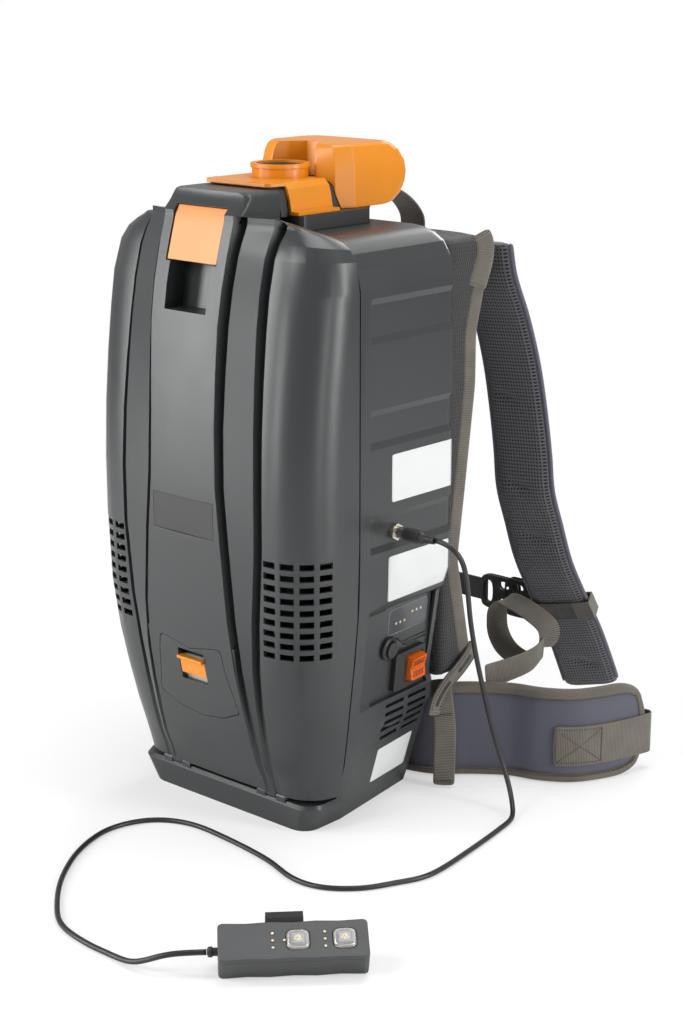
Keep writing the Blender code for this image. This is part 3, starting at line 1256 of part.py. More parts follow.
def remote():
    frame = REMOTE_FRAME
    grey = material("remote_grey", (0.1, 0.1, 0.1), 0.45)
    lid_low = REMOTE_HEIGHT - REMOTE_LID
    rings = []
    for height, inset in ((0, REMOTE_EDGE), (REMOTE_EDGE, 0), (lid_low - FIT_GAP, 0)):
        rings.append([frame @ Vector((x, y, height)) for x, y in remote_outline(inset)])
    base = loft("remote_base", rings, grey)
    middle = (REMOTE_LENGTH / 2, REMOTE_WIDTH / 2)
    hollow = rectangle(REMOTE_LENGTH - 8 * MM, REMOTE_WIDTH - 8 * MM, 2 * MM, middle)
    cut(base, prism("hollow", hollow, "z", WALL, REMOTE_HEIGHT, grey, frame))
    bore = circle(CORD_DIAMETER / 2 + 1.5 * MM, 16, (REMOTE_WIDTH / 2, REMOTE_HEIGHT / 2))
    side = frame @ Matrix(((0, 0, 1, 0), (1, 0, 0, 0), (0, 1, 0, 0), (0, 0, 0, 1)))
    cut(base, prism("gland_hole", bore, "z", -4 * MM, 8 * MM, grey, side))
    rings = []
    for height, inset in ((lid_low, 0), (REMOTE_HEIGHT - MM, 0), (REMOTE_HEIGHT, MM)):
        rings.append([frame @ Vector((x, y, height)) for x, y in remote_outline(inset)])
    lid = loft("remote_lid", rings, grey)
    clear = material("clear_key", (0.55, 0.55, 0.55), 0.15)
    for number, share in ((1, 0.53), (2, 0.84)):
        centre = (share * REMOTE_LENGTH, REMOTE_WIDTH / 2)
        hole = rectangle(KEY_SIZE + 2 * SEAM, KEY_SIZE + 2 * SEAM, 5 * MM, centre)
        cut(lid, prism("hole", hole, "z", lid_low - MM, REMOTE_HEIGHT + MM, grey, frame))
        rings = []
        for height, size in ((-3, 1), (0.6, 1), (2.2, 0.82), (2.8, 0.5)):
            outline = rectangle(KEY_SIZE * size, KEY_SIZE * size, 5 * MM * size, centre)
            rings.append([frame @ Vector((x, y, REMOTE_HEIGHT + height * MM)) for x, y in outline])
        loft(f"remote_key_{number}", rings, clear)
    gland = []
    for radius, along in ((2.6, -9), (4.6, -7.5), (4.6, -4.6), (3.6, -4), (3.6, -0.3), (3.6, 4)):
        ring = circle(radius * MM, 16, (REMOTE_WIDTH / 2, REMOTE_HEIGHT / 2))
        gland.append([side @ Vector((x, y, along * MM)) for x, y in ring])
    loft("remote_gland", gland, dark_plastic())
    line = [(REMOTE_WIDTH + FIT_GAP + MM, 10 * MM), (REMOTE_WIDTH + FIT_GAP + MM, 20 * MM)]
    line += [(REMOTE_WIDTH + 6 * MM, 23 * MM), (REMOTE_WIDTH + 12 * MM, 21 * MM)]
    line += [(REMOTE_WIDTH + 13 * MM, 14 * MM), (REMOTE_WIDTH + 9 * MM, -8 * MM)]
    lean_angle = math.radians(REMOTE_TILT)
    rest = (REMOTE_SINK + 1.1 * MM) / math.cos(lean_angle)
    for y in (REMOTE_WIDTH + 4 * MM, REMOTE_WIDTH - 16 * MM):
        line.append((y, rest - y * math.tan(lean_angle)))
    outline = inset_line(line, MM) + list(reversed(inset_line(line, -MM)))
    middle_x = 0.45 * REMOTE_LENGTH
    prism("remote_clip", outline, "z", middle_x - 16 * MM, middle_x + 16 * MM, dark_plastic(), side)


def control_cord():
    """Cord from the plug down to the floor, in two loops, to the hand control."""
    plug_end = side_x(SOCKET_Y, SOCKET_Z) + 14 * MM + PLUG_LENGTH
    start = Vector((plug_end + 3 * MM + FIT_GAP, SOCKET_Y, SOCKET_Z))
    gland = Vector((REMOTE_WIDTH / 2, REMOTE_HEIGHT / 2, -9.3 * MM))
    end = CORD_FRAME @ gland
    before = CORD_FRAME @ (gland - Vector((0, 0, 16 * MM)))
    rest = CORD_DIAMETER / 2 + FIT_GAP
    route = [start, start + Vector((5 * MM, 4 * MM, -4 * MM))]
    route += [Vector((x * MM, y * MM, z * MM)) for x, y, z in CORD_HANGING]
    route += [Vector((x * MM, y * MM, rest)) for x, y in CORD_FLOOR]
    route += [before, end]
    data = bpy.data.curves.new("control_cord", "CURVE")
    data.dimensions = "3D"
    data.bevel_depth = CORD_DIAMETER / 2
    data.bevel_resolution = 2
    data.use_fill_caps = True
    points = [start - Vector((3 * MM, 0, 0))] + smooth_path(route, CORD_POINTS)
    for point in points:
        point.z = max(point.z, rest)
    line = data.splines.new("POLY")
    line.points.add(len(points) - 1)
    for spot, point in zip(line.points, points):
        spot.co = (*point, 1)
    data.materials.append(material("cord_black", (0.01, 0.01, 0.01), 0.45))
    cord = bpy.data.objects.new("control_cord", data)
    bpy.context.scene.collection.objects.link(cord)


# ---- harness ------------------------------------------------------------------------------------
def back_parts():
    front = BACK_Y + FIT_GAP
    outline = []
    for share, width in ((0, 0.8), (0.18, 0.86), (0.4, 1), (0.95, 1), (1, 0.92)):
        outline.append((width * PLATE_HALF_WIDTH, PLATE_BOTTOM + share * (PLATE_TOP - PLATE_BOTTOM)))
    line = outline + [(-x, z) for x, z in reversed(outline)]
    prism("harness_board", line, "y", front, front + BOARD_PLATE, dark_plastic())
    front += BOARD_PLATE + FIT_GAP
    rings = []
    for share, depth in PAD_DEPTH_SHAPE:
        z = PAD_BOTTOM + share * (PAD_TOP - PAD_BOTTOM)
        back = front + depth * PAD_DEPTH
        half = PAD_HALF_WIDTH
        edge = 5 * MM
        right = [(half - edge, front), (half, front + edge), (half, back - edge), (half - edge, back)]
        right += [(0.3 * half, back - 2 * MM)]
        ring = right + [(-x, y) for x, y in reversed(right)]
        rings.append([Vector((x, y, z)) for x, y in ring])
    loft("back_pad", rings, mesh_cloth())
    line = [Vector((LOOP_X, y * MM, z * MM)) for y, z in GRAB_LOOP]
    path = smooth_path(line, 9)
    ribbon("grab_loop", path, lambda i: (1, 0, 0), LOOP_WIDTH, 2 * MM, webbing())


def strap_path(side):
    points = [(side * STRAP_X, y * MM, z * MM) for y, z in STRAP_SHAPE]
    return smooth_path(points, 15)


def strap_across(side, i):
    turn = math.radians(6 + 1.4 * i)
    return Vector((side * math.cos(turn), math.sin(turn), 0))


def shoulder_parts(side, name):
    path = strap_path(side)
    strap = ribbon(
        "shoulder_strap_" + name,
        path,
        lambda i: strap_across(side, i),
        STRAP_WIDTH,
        STRAP_THICKNESS,
        mesh_cloth(),
        round_edges=True,
    )
    spot = path[CHEST_POINT]
    ahead = (path[CHEST_POINT + 1] - path[CHEST_POINT - 1]).normalized()
    across = strap_across(side, CHEST_POINT)
    across = (across - ahead * across.dot(ahead)).normalized()
    up = ahead.cross(across)
    w = STRAP_WIDTH / 2 + BAND_STRAP_GAP
    h = STRAP_THICKNESS / 2 + BAND_STRAP_GAP
    rings = []
    for u, v in ((-1, -1), (1, -1), (1, 1), (-1, 1)):
        ring = []
        for grow, shift in ((0, -1), (BAND_THICKNESS, -1), (BAND_THICKNESS, 1), (0, 1)):
            point = spot + across * u * (w + grow) + up * v * (h + grow)
            ring.append(point + ahead * shift * WEBBING_WIDTH / 2)
        rings.append(ring)
    loft("chest_band_" + name, rings, webbing(), closed=True)
    return spot, across


def chest_parts(anchor, across):
    """Side-release buckle between the bands, with its webbings."""
    y, z = (anchor - across * STRAP_WIDTH / 2).y, anchor.z
    web_end = STRAP_X - STRAP_WIDTH / 2 - 4 * MM
    socket_low = BUCKLE_MIDDLE + FIT_GAP
    socket_high = socket_low + BUCKLE_LENGTH
    half = BUCKLE_WIDTH / 2
    deep = BUCKLE_THICKNESS / 2
    socket = box(
        "chest_buckle_socket",
        (socket_low, y - deep, z - half - 2 * MM),
        (socket_high, y + deep, z + half + 2 * MM),
        dark_plastic(),
    )
    tongue = BUCKLE_TRAVEL - MM
    clear = SEAM
    cut(
        socket,
        box(
            "cavity",
            (socket_low - MM, y - 2.5 * MM - clear, z - half + 4 * MM - clear),
            (socket_low + tongue + MM, y + 2.5 * MM + clear, z + half - 4 * MM + clear),
            dark_plastic(),
        ),
    )
    low = BUCKLE_MIDDLE - BUCKLE_LENGTH
    plug = box("chest_buckle_plug", (low, y - deep, z - half), (BUCKLE_MIDDLE, y + deep, z + half), dark_plastic())
    for z0, z1 in ((z - half + 4 * MM, z - half + 12 * MM), (z + half - 12 * MM, z + half - 4 * MM)):
        join(
            plug,
            box("prong", (BUCKLE_MIDDLE - MM, y - 2.5 * MM, z0), (BUCKLE_MIDDLE + tongue, y + 2.5 * MM, z1), dark_plastic()),
        )
    half_web = WEBBING_WIDTH / 2
    tube = WEBBING_THICKNESS / 2 + 0.8 * MM
    cut(
        plug,
        box(
            "tube",
            (low - MM, y - tube, z - half_web - MM),
            (low + 1.5 * BUCKLE_TRAVEL, y + tube, z + half_web + MM),
            dark_plastic(),
        ),
    )
    thin = WEBBING_THICKNESS / 2
    box(
        "chest_webbing_left",
        (-web_end, y - thin, z - half_web),
        (low + 8 * MM, y + thin, z + half_web),
        webbing(),
    )
    box(
        "chest_webbing_right",
        (socket_high + FIT_GAP, y - thin, z - half_web),
        (web_end, y + thin, z + half_web),
        webbing(),
    )


def belt_path(side, count):
    points = [(side * x * MM, y * MM, BELT_HEIGHT / 2 + MM) for x, y in BELT_SHAPE]
    return smooth_path(points, count)


def belt_parts(side, name):
    path = belt_path(side, 16)
    rings = []
    for i, point in enumerate(path):
        ahead = (path[min(i + 1, 15)] - path[max(i - 1, 0)]).normalized()
        out = ahead.cross(Vector((0, 0, 1)))
        left = (path[-1] - point).length
        round_end = 38 * MM
        high = BELT_HEIGHT / 2
        if left < round_end:
            high = BELT_HEIGHT / 2 - round_end * (1 - math.sqrt(1 - (1 - left / round_end) ** 2)) * 0.8
        thick = BELT_THICKNESS / 2
        edge = 3.5 * MM
        ring = []
        for u, v in ((-thick, -high + edge), (-thick + edge, -high), (thick - edge, -high), (thick, -high + edge)):
            ring.append(point + out * u + Vector((0, 0, v)))
        for u, v in ((thick, high - edge), (thick - edge, high), (-thick + edge, high), (-thick, high - edge)):
            ring.append(point + out * u + Vector((0, 0, v)))
        rings.append(ring)
    loft("hip_belt_" + name, rings, belt_cloth())
    offset = BELT_THICKNESS / 2 + 2 * FIT_GAP + WEBBING_THICKNESS / 2
    tail = [(side * point.x, point.y) for point in path[8:]]
    outer = inset_line(tail, -offset)
    inner = inset_line(tail, offset)
    end = Vector(tail[-1])
    ahead = (end - Vector(tail[-2])).normalized()
    out = Vector((ahead.y, -ahead.x))
    turn = []
    for degrees in (15, 45, 75, 105, 135, 165):
        angle = math.radians(degrees)
        turn.append(end + ahead * (MM + offset * math.sin(angle)) + out * offset * math.cos(angle))
    line = outer + turn + list(reversed(inner[-3:]))
    ribbon(
        "hip_webbing_" + name,
        [Vector((side * x, y, HIP_WEBBING_Z)) for x, y in line],
        lambda i: (0, 0, 1),
        HIP_WEBBING_WIDTH,
        WEBBING_THICKNESS,
        webbing(),
    )


def lower_parts(side, name):
    line = [Vector((side * x * MM, y * MM, z * MM)) for x, y, z in LOWER_STRAP]
    ribbon(
        "lower_strap_" + name,
        smooth_path(line, 7),
        lambda i: (0, 0.35, 1),
        WEBBING_WIDTH,
        WEBBING_THICKNESS,
        webbing(),
    )
    tab = [Vector((side * x * MM, y * MM, z * MM)) for x, y, z in BOTTOM_TAB]
    ribbon("bottom_tab_" + name, tab, lambda i: (side, 0.8, 0), 22 * MM, 2 * WEBBING_THICKNESS, webbing())


# ---- derived sizes ------------------------------------------------------------------------------
BASE_FLOOR = 8 * MM
TROUGH_RADIUS = KNUCKLE_RADIUS + PIN_CLEARANCE
POCKET_HALF = LATCH_HALF_WIDTH + MM
FINGER_HALF = LATCH_HALF_WIDTH - 5 * MM
LATCH_SEAT = MM + LATCH_THICKNESS + 4.5 * MM
LATCH_PIN_Z = LATCH_TOP - 2.4 * PIN_RADIUS
LATCH_PIN_Y = spine_y(LATCH_PIN_Z) + MM + LATCH_THICKNESS
EXHAUST_HALF = 36 * MM
EXHAUST_LOW = HATCH_BOTTOM + 16 * MM
EXHAUST_HIGH = HATCH_TOP - 18 * MM
EXHAUST_DEPTH = 16 * MM
HATCH_SEAT = 6 * MM
DECK_FRONT_Y = SPLIT_Y + 12 * MM
DECK_RIDGE_FRONT = HOUSING_FRONT
DECK_RIDGE_TOP = RIDGE_TOP + SADDLE_RUNNING_GAP - FIT_GAP
RIDGE_TOP_HALF = RIDGE_HALF_WIDTH - RIDGE_CORNER
BAG_TOP = HOUSING_TOP - 33 * MM
BAG_LOW = FLOOR_Z + FLOOR_THICKNESS + FILTER_THICKNESS + 2 * MM
BAG_Y = 4 * MM
SHAFT_RADIUS = 4 * MM
SHAFT_BORE = SHAFT_RADIUS + MM
PANEL_SINK = 1.5 * MM
PANEL_FRAME = surface_frame(SWITCH_Y, SWITCH_Z)
SWITCH_OPENING = (BEZEL_SIZE[0] - 8 * MM, BEZEL_SIZE[1] - 8 * MM)
WINDOW_SPOT = (WINDOW_Y - SWITCH_Y, WINDOW_Z - SWITCH_Z)
SOCKET_BORE = SOCKET_NUT - 2.5 * MM
PAD_DEPTH = 75 * MM
PAD_DEPTH_SHAPE = (
    (0, 0.56), (0.03, 0.6), (0.14, 0.46), (0.28, 0.28), (0.42, 0.4), (0.67, 0.6), (0.79, 0.6), (0.9, 0.78), (0.965, 0.968), (1, 0.84)
)
STRAP_SHAPE = (
    (179, 548), (187, 515), (209, 470), (228, 420), (241, 370), (251, 320), (257, 280),
    (273, 240), (292, 195), (320, 150), (350, 105), (375, 60), (392, 27),
)
CHEST_POINT = 11  # place of the chest band, in points along the strap
BUCKLE_MIDDLE = 38 * MM
BELT_SHAPE = (
    (4, 104.7), (36, 104.8), (64, 106.2), (102, 117), (135, 146), (165, 168), (195, 178), (222, 196), (238, 222), (248, 250), (255, 275)
)
HIP_WEBBING_Z = 41 * MM
LOWER_STRAP = ((138, 158, 104), (146, 190, 106), (148, 225, 108), (140, 256, 112))
BOTTOM_TAB = ((119, 108, 110.9), (121, 107, 100), (134, 98, 66), (135, 97, 34), (135, 96, 2))
LOOP_X = 0
GRAB_LOOP = (
    (112, 560.5), (113, 578), (126, 593), (150, 596), (178, 584), (199, 563), (197, 541), (181, 529.5), (163.6, 528),
)
REMOTE_EDGE = 2 * MM  # chamfer round the bottom
REMOTE_SINK = REMOTE_EDGE * math.sin(math.radians(REMOTE_TILT))
REMOTE_FRAME = (
    Matrix.Translation((*REMOTE_CORNER, -REMOTE_SINK))
    @ Matrix.Rotation(math.radians(REMOTE_TURN), 4, "Z")
    @ Matrix.Rotation(math.radians(REMOTE_TILT), 4, "X")
)
CORD_FRAME = REMOTE_FRAME @ Matrix(((0, 0, 1, 0), (1, 0, 0, 0), (0, 1, 0, 0), (0, 0, 0, 1)))
CORD_POINTS = 80
CORD_HANGING = (
    (204, 22, 268), (202, 38, 245), (199, 56, 205), (198, 68, 150), (199, 84, 95), (201, 100, 50), (206, 108, 18),
)
CORD_FLOOR = (
    (216, 100), (236, 50), (253, -9), (259, -76), (246, -110), (230, -140), (201, -163), (168, -166),
    (125, -153), (67, -145), (12, -144), (-24, -164), (-38, -205), (-23, -256), (11, -307), (50, -346),
    (83, -369), (124, -377), (158, -368), (190, -352),
)


def main():
    clear_scene()
    rear_housing()
    front_cover()
    cover_fittings()
    filter_hatch()
    top_deck()
    inlet_saddle()
    inlet_parts()
    rear_hood()
    insides()
    side_fittings()
    connector()
    remote()
    control_cord()
    back_parts()
    for side, name in ((-1, "left"), (1, "right")):
        anchor, across = shoulder_parts(side, name)
        belt_parts(side, name)
        lower_parts(side, name)
    chest_parts(anchor, across)


main()
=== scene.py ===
import json
import math

import bmesh
import bpy
import numpy as np
from mathutils import Matrix, Vector
from mathutils.bvhtree import BVHTree

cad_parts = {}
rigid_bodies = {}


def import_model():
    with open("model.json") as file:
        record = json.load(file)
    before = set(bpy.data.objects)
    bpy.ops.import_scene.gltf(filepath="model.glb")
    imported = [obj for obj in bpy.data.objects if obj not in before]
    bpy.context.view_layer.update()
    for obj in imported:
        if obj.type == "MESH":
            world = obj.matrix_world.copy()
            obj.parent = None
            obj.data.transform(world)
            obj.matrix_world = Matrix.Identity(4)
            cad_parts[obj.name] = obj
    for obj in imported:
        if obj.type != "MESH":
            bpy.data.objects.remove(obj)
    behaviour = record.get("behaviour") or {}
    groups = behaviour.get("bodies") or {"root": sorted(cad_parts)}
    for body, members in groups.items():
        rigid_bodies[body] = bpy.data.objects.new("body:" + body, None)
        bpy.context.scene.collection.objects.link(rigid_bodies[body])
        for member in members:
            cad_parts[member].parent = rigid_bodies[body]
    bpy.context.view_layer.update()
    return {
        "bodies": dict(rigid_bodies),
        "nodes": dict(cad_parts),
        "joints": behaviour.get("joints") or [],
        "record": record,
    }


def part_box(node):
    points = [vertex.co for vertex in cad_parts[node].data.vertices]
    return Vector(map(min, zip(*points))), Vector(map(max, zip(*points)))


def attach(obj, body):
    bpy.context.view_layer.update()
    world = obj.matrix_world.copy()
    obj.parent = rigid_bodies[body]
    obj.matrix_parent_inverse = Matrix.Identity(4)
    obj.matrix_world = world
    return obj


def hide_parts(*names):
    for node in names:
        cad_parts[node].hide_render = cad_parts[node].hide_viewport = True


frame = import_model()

NODES = frame["nodes"]
MM = 0.001
BACK = "backpack"  # body that the harness and the housing ride on


# ---- sizes repeated from the solids ----------------------------------------------
STRAP_X = 110 * MM
STRAP_WIDTH = 66 * MM
STRAP_HALF = 6 * MM
BELT_HEIGHT = 100 * MM
BELT_HALF = 6 * MM
WEBBING = 25 * MM
HIP_WEBBING = 43 * MM
HIP_WEBBING_Z = 41 * MM
BAND_ENDS = (126 * MM, 128 * MM)  # where the chest band turns from elastic to webbing
WEB_HALF = 0.9 * MM
STRAP_LINE = (
    (179, 548), (187, 515), (209, 470), (228, 420), (241, 370), (251, 320), (257, 280),
    (273, 240), (292, 195), (320, 150), (350, 105), (375, 60), (392, 27),
)
BELT_LINE = (
    (4, 104.7), (36, 104.8), (64, 106.2), (102, 117), (135, 146), (165, 168),
    (195, 178), (222, 196), (238, 222), (248, 250), (255, 275),
)
LOWER_LINE = ((138, 158, 104), (146, 190, 106), (148, 225, 108), (140, 256, 112))
TAB_LINE = ((119, 108, 110.9), (121, 107, 100), (134, 98, 66), (135, 97, 34), (135, 96, 2))
GRAB_LINE = (
    (112, 560.5), (113, 578), (126, 593), (150, 596), (178, 584), (199, 563), (197, 541), (181, 529.5), (163.6, 528),
)
STRAP_CREASES = (  # height, place across and half length of each sewn crease
    (385 * MM, -0.35, 0.42), (286 * MM, -0.15, 0.4), (226 * MM, 0, 0.42), (60 * MM, 0.05, 0.45),
)
CURL_LINE = (  # slack tail of the strap's webbing, hanging in a loop above the belt
    (139, 259, 110), (144, 260, 121), (141, 261, 133), (124, 262, 142), (100, 262, 150), (84, 260, 152),
    (77, 258, 143), (76, 257, 131), (79, 256, 115), (91, 255, 100), (110, 254, 94), (130, 254, 100),
)
FOLD_LINE = (  # edging that runs on from the pad's lower corner to the housing
    (130, 148, 141), (132, 140, 133), (132, 130, 125), (132, 118, 118), (131, 107, 111), (129, 98, 101),
    (127, 92, 90), (126, 89, 78),
)
PAD_DEPTH = 75 * MM
PAD_SHAPE = (
    (0, 0.56), (0.03, 0.6), (0.14, 0.46), (0.28, 0.28), (0.42, 0.4), (0.67, 0.6),
    (0.79, 0.6), (0.9, 0.78), (0.965, 0.968), (1, 0.84),
)
PAD_LOW, PAD_TOP, PAD_HALF_WIDTH, PAD_FRONT = 112 * MM, 560 * MM, 128 * MM, 98.6 * MM
SOCKET_X, SOCKET_Y, SOCKET_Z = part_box("cord_plug")[1].x, 3 * MM, 294 * MM
CORD_DIAMETER = 5 * MM
CORD_REST = CORD_DIAMETER / 2 + 0.3 * MM
CORD_HANGING = (
    (213, 4.6, 291.6), (220, 7.5, 285), (222.5, 12, 275), (220, 20, 258), (212, 34, 232),
    (204, 48, 205), (199, 64, 165), (198.5, 80, 118), (201, 90, 82), (206, 97, 53),
    (213, 99, 32), (222, 95, 16), (231, 86, 6),
)
CORD_FLOOR = (
    (240, 70), (253, -9), (259, -76), (246, -110), (230, -140), (201, -163),
    (168, -166), (125, -153), (67, -145), (12, -144), (-24, -164), (-38, -205),
    (-23, -256), (11, -307), (50, -346), (83, -369), (124, -377), (160, -377),
)
CORD_RISE = ((185, -378, 6), (203, -373, 14), (214, -366.5, 19))
REMOTE_LENGTH, REMOTE_WIDTH, REMOTE_HEIGHT = 126 * MM, 38 * MM, 27 * MM
KEY_SHARES = (0.53, 0.84)  # places of the two keys along the hand control
PANEL_FRAME = Matrix((
    (-0.093177, 0.09751, 0.990863, 0.127758),
    (0.99565, 0.009125, 0.092729, 0.044),
    (0.0, 0.995193, -0.097936, 0.143),
    (0.0, 0.0, 0.0, 1.0),
))  # middle of the switch: along the panel, up it, and out of it
ROCKER_SHIFT, ROCKER_WIDTH, ROCKER_HEIGHT = 8 * MM, 25 * MM, 27 * MM
ROCKER_TOP = 9.8 * MM  # of its two ends, out of the panel's frame
WINDOW_TOP, WINDOW_SPOT = -1.2 * MM, (-5 * MM, 55 * MM)  # the display's face and its middle
WINDOW_LAMPS = ((-24, 52), (-17, 52), (-10, 52), (3, 58), (10, 58), (17, 58))
REMOTE_LAMPS = (  # (share of the length, mm off the middle)
    (0.363, 7), (0.363, 0), (0.363, -7), (0.44, 0), (0.71, 7), (0.71, 0), (0.71, -7),
)
LAMP_RING = 1.75 * MM
KEY_CORE = (  # (u, v, radius) in mm of the bumps seen through a clear key
    (-1.5, 1.3, 1.5), (1.4, 1.0, 1.6), (0, -1.4, 1.7),
    (0.2, 2.6, 1.1), (-2.5, -1, 1.1), (2.6, -1.2, 1.1),
)
SOCKET_HOLES = ((16, 9, 1, 12), (16, 9, 1, -12), (6, 22, -12, 0))  # (width, height, x, z) in mm
PLUG_HOLES = ((13, 26, -16, 0), (15, 9, 6, 10), (15, 9, 6, -10))
PLUG_RADIUS = 6.2 * MM  # of the ring that its grip ribs follow
WORLD_FILL, WORLD_MIRRORED = 0.24, 0.4  # of the white world: as light, and as glossy rays see it
PANEL_OUTLINE = (  # (u, v) mm of the plate round the display, clear of the breaker and the switch
    (-52.5, 40.5), (-29, 40.5), (-26, 37), (-20, 36), (-14, 31), (-4, 25),
    (2, 21), (34, 21), (34, 76), (-48, 76), (-52.5, 62),
)
STICKERS = (  # (low y, high y, low z, high z) on the right side, in mm
    ("upper", -4, 87, 324, 370),
    ("middle", -8, 82, 226, 271),
    ("lower", 8, 71, 26, 64),
)
REMOTE_TILT = math.radians(29)
REMOTE_FRAME = (
    Matrix.Translation((251 * MM, -343 * MM, -2 * MM * math.sin(REMOTE_TILT)))
    @ Matrix.Rotation(math.radians(46.3), 4, "Z")
    @ Matrix.Rotation(REMOTE_TILT, 4, "X")
)


# ---- shader maths -------------------------------------------------------------------
class Wire:
    """A socket of a material; Python's operators on it add Math nodes."""

    def __init__(self, paint, socket):
        self.paint = paint
        self.socket = socket

    def maths(self, operation, *values):
        return self.paint.node("Math", {"operation": operation}, dict(enumerate(values)))

    def __add__(self, other):
        return self.maths("ADD", self, other)

    def __sub__(self, other):
        return self.maths("SUBTRACT", self, other)

    def __rsub__(self, other):
        return self.maths("SUBTRACT", other, self)

    def __mul__(self, other):
        return self.maths("MULTIPLY", self, other)

    def __truediv__(self, other):
        return self.maths("DIVIDE", self, other)

    def __pow__(self, other):
        return self.maths("POWER", self, other)

    def __abs__(self):
        return self.maths("ABSOLUTE", self)

    __radd__ = __add__
    __rmul__ = __mul__

    def wave(self, pitch):
        """Sine of this length, from -1 to 1, once every pitch."""
        return self.maths("SINE", self * (2 * math.pi / pitch))

    def step(self, low, high):
        """0 below low, 1 above high, smooth between."""
        settings = {"interpolation_type": "SMOOTHSTEP"}
        return self.paint.node("MapRange", settings, {0: self, 1: low, 2: high})


class Paint:
    """One procedural material."""

    def __init__(self, name):
        self.material = bpy.data.materials.new(name)
        self.material.use_nodes = True
        self.tree = self.material.node_tree
        self.shader = self.tree.nodes["Principled BSDF"]

    def node(self, kind, settings=None, inputs=None, output=0):
        """Adds a node: first its settings, then the values or links of its sockets."""
        made = self.tree.nodes.new("ShaderNode" + kind)
        for key, value in (settings or {}).items():
            if key == "stops":
                set_stops(made.color_ramp.elements, value)
            else:
                setattr(made, key, value)
        for key, value in (inputs or {}).items():
            self.feed(made.inputs[key], value)
        return Wire(self, made.outputs[output])

    def feed(self, socket, value):
        if isinstance(value, Wire):
            self.tree.links.new(value.socket, socket)
        else:
            socket.default_value = value

    def put(self, **values):
        """Feeds the shader's own sockets, named in lower case with underscores."""
        for name, value in values.items():
            self.feed(self.shader.inputs[name.replace("_", " ").title()], value)
        return self

    def at(self):
        """Point of the object in metres, as it stands at rest."""
        return self.node("TexCoord", output="Object")

    def lay(self):
        """(along, across, up) on a piece of cloth, in metres."""
        settings = {"attribute_type": "GEOMETRY", "attribute_name": "lay"}
        vector = self.node("Attribute", settings, output="Vector")
        return [self.node("SeparateXYZ", None, {0: vector}, i) for i in range(3)]

    def noise(self, scale, detail=2.0, roughness=0.5, where=None):
        inputs = {"Vector": where or self.at(), "Scale": scale, "Detail": detail, "Roughness": roughness}
        return self.node("TexNoise", None, inputs)

    def mix(self, share, first, second):
        """Colour between two others."""
        settings = {"data_type": "RGBA", "clamp_factor": True}
        return self.node("Mix", settings, {0: share, 6: first, 7: second}, 2)

    def bump(self, height, depth, normal=None):
        """A normal pushed by a height of 0 to 1, this deep in metres."""
        inputs = {"Height": height, "Distance": depth}
        if normal is not None:
            inputs["Normal"] = normal
        return self.node("Bump", None, inputs)

    def rounded(self, radius):
        """Normal with the hard edges softened."""
        return self.node("Bevel", {"samples": 4}, {"Radius": radius})


def set_stops(elements, stops):
    while len(elements) < len(stops):
        elements.new(1)
    for element, (place, colour) in zip(elements, stops):
        element.position = place
        element.color = colour


def tone(red, green, blue):
    """Linear colour from screen values of 0 to 255."""
    parts = []
    for value in (red, green, blue):
        share = value / 255
        parts.append(share / 12.92 if share <= 0.04045 else ((share + 0.055) / 1.055) ** 2.4)
    return (*parts, 1.0)


def shade(colour, factor):
    return (*(min(part * factor, 1) for part in colour[:3]), 1.0)


# ---- materials ---------------------------------------------------------------------------
def moulded(name, colour, roughness, grain=0.02 * MM, edge=0.7 * MM, coat=0.0):
    """Injection-moulded plastic: fine grain, faint clouding and soft edges."""
    paint = Paint(name)
    cloud = paint.noise(9, 3)
    fine = paint.noise(1500, 1)
    smear = paint.noise(38, 4, 0.6)
    base = paint.mix(cloud, shade(colour, 0.9), shade(colour, 1.12))
    normal = paint.bump(fine, grain, paint.rounded(edge))
    paint.put(base_color=base, roughness=roughness - 0.05 + smear * 0.1, normal=normal)
    paint.shader.inputs["Coat Weight"].default_value = coat
    return paint.material


def metal(name, colour, roughness):
    paint = Paint(name)
    scratch = paint.noise(500, 3, 0.7)
    paint.put(base_color=paint.mix(scratch, shade(colour, 0.85), colour), metallic=1.0)
    paint.put(roughness=roughness + scratch * 0.12, normal=paint.rounded(0.3 * MM))
    return paint.material


def woven(name, colour, dark, pitch=1.7 * MM, at_rest=False, ends=None):
    """Ribbed webbing: ribs across the length, with a fine twill between them, their dips painted darker as shade.

    at_rest weaves by place, for a solid without a sweep; ends is the colour of its outer ends."""
    paint = Paint(name)
    if at_rest:
        along, deep, across = [paint.node("SeparateXYZ", None, {0: paint.at()}, i) for i in range(3)]
        outer = abs(along).step(*BAND_ENDS)
        along = along + deep
    else:
        along, across, _ = paint.lay()
    rib = 0.5 + 0.5 * along.wave(pitch)
    twill = 0.5 + 0.5 * (along + across).wave(0.9 * MM)
    fuzz = paint.noise(2600, 2, 0.7)
    height = 0.6 * rib + 0.25 * twill + 0.35 * fuzz
    worn = paint.noise(30, 4, 0.6)
    if ends:
        colour = paint.mix(outer, colour, ends)
    # painted shade: the weave's low parts take the dark colour
    base = paint.mix(height.step(0.15, 0.95), dark, colour)
    base = paint.mix(worn.step(0.35, 0.75) * 0.35, base, shade(ends or colour, 1.25))
    paint.put(base_color=base, roughness=0.88, normal=paint.bump(height, 0.25 * MM))
    paint.shader.inputs["Sheen Weight"].default_value = 0.25
    paint.shader.inputs["Sheen Roughness"].default_value = 0.4
    return paint.material


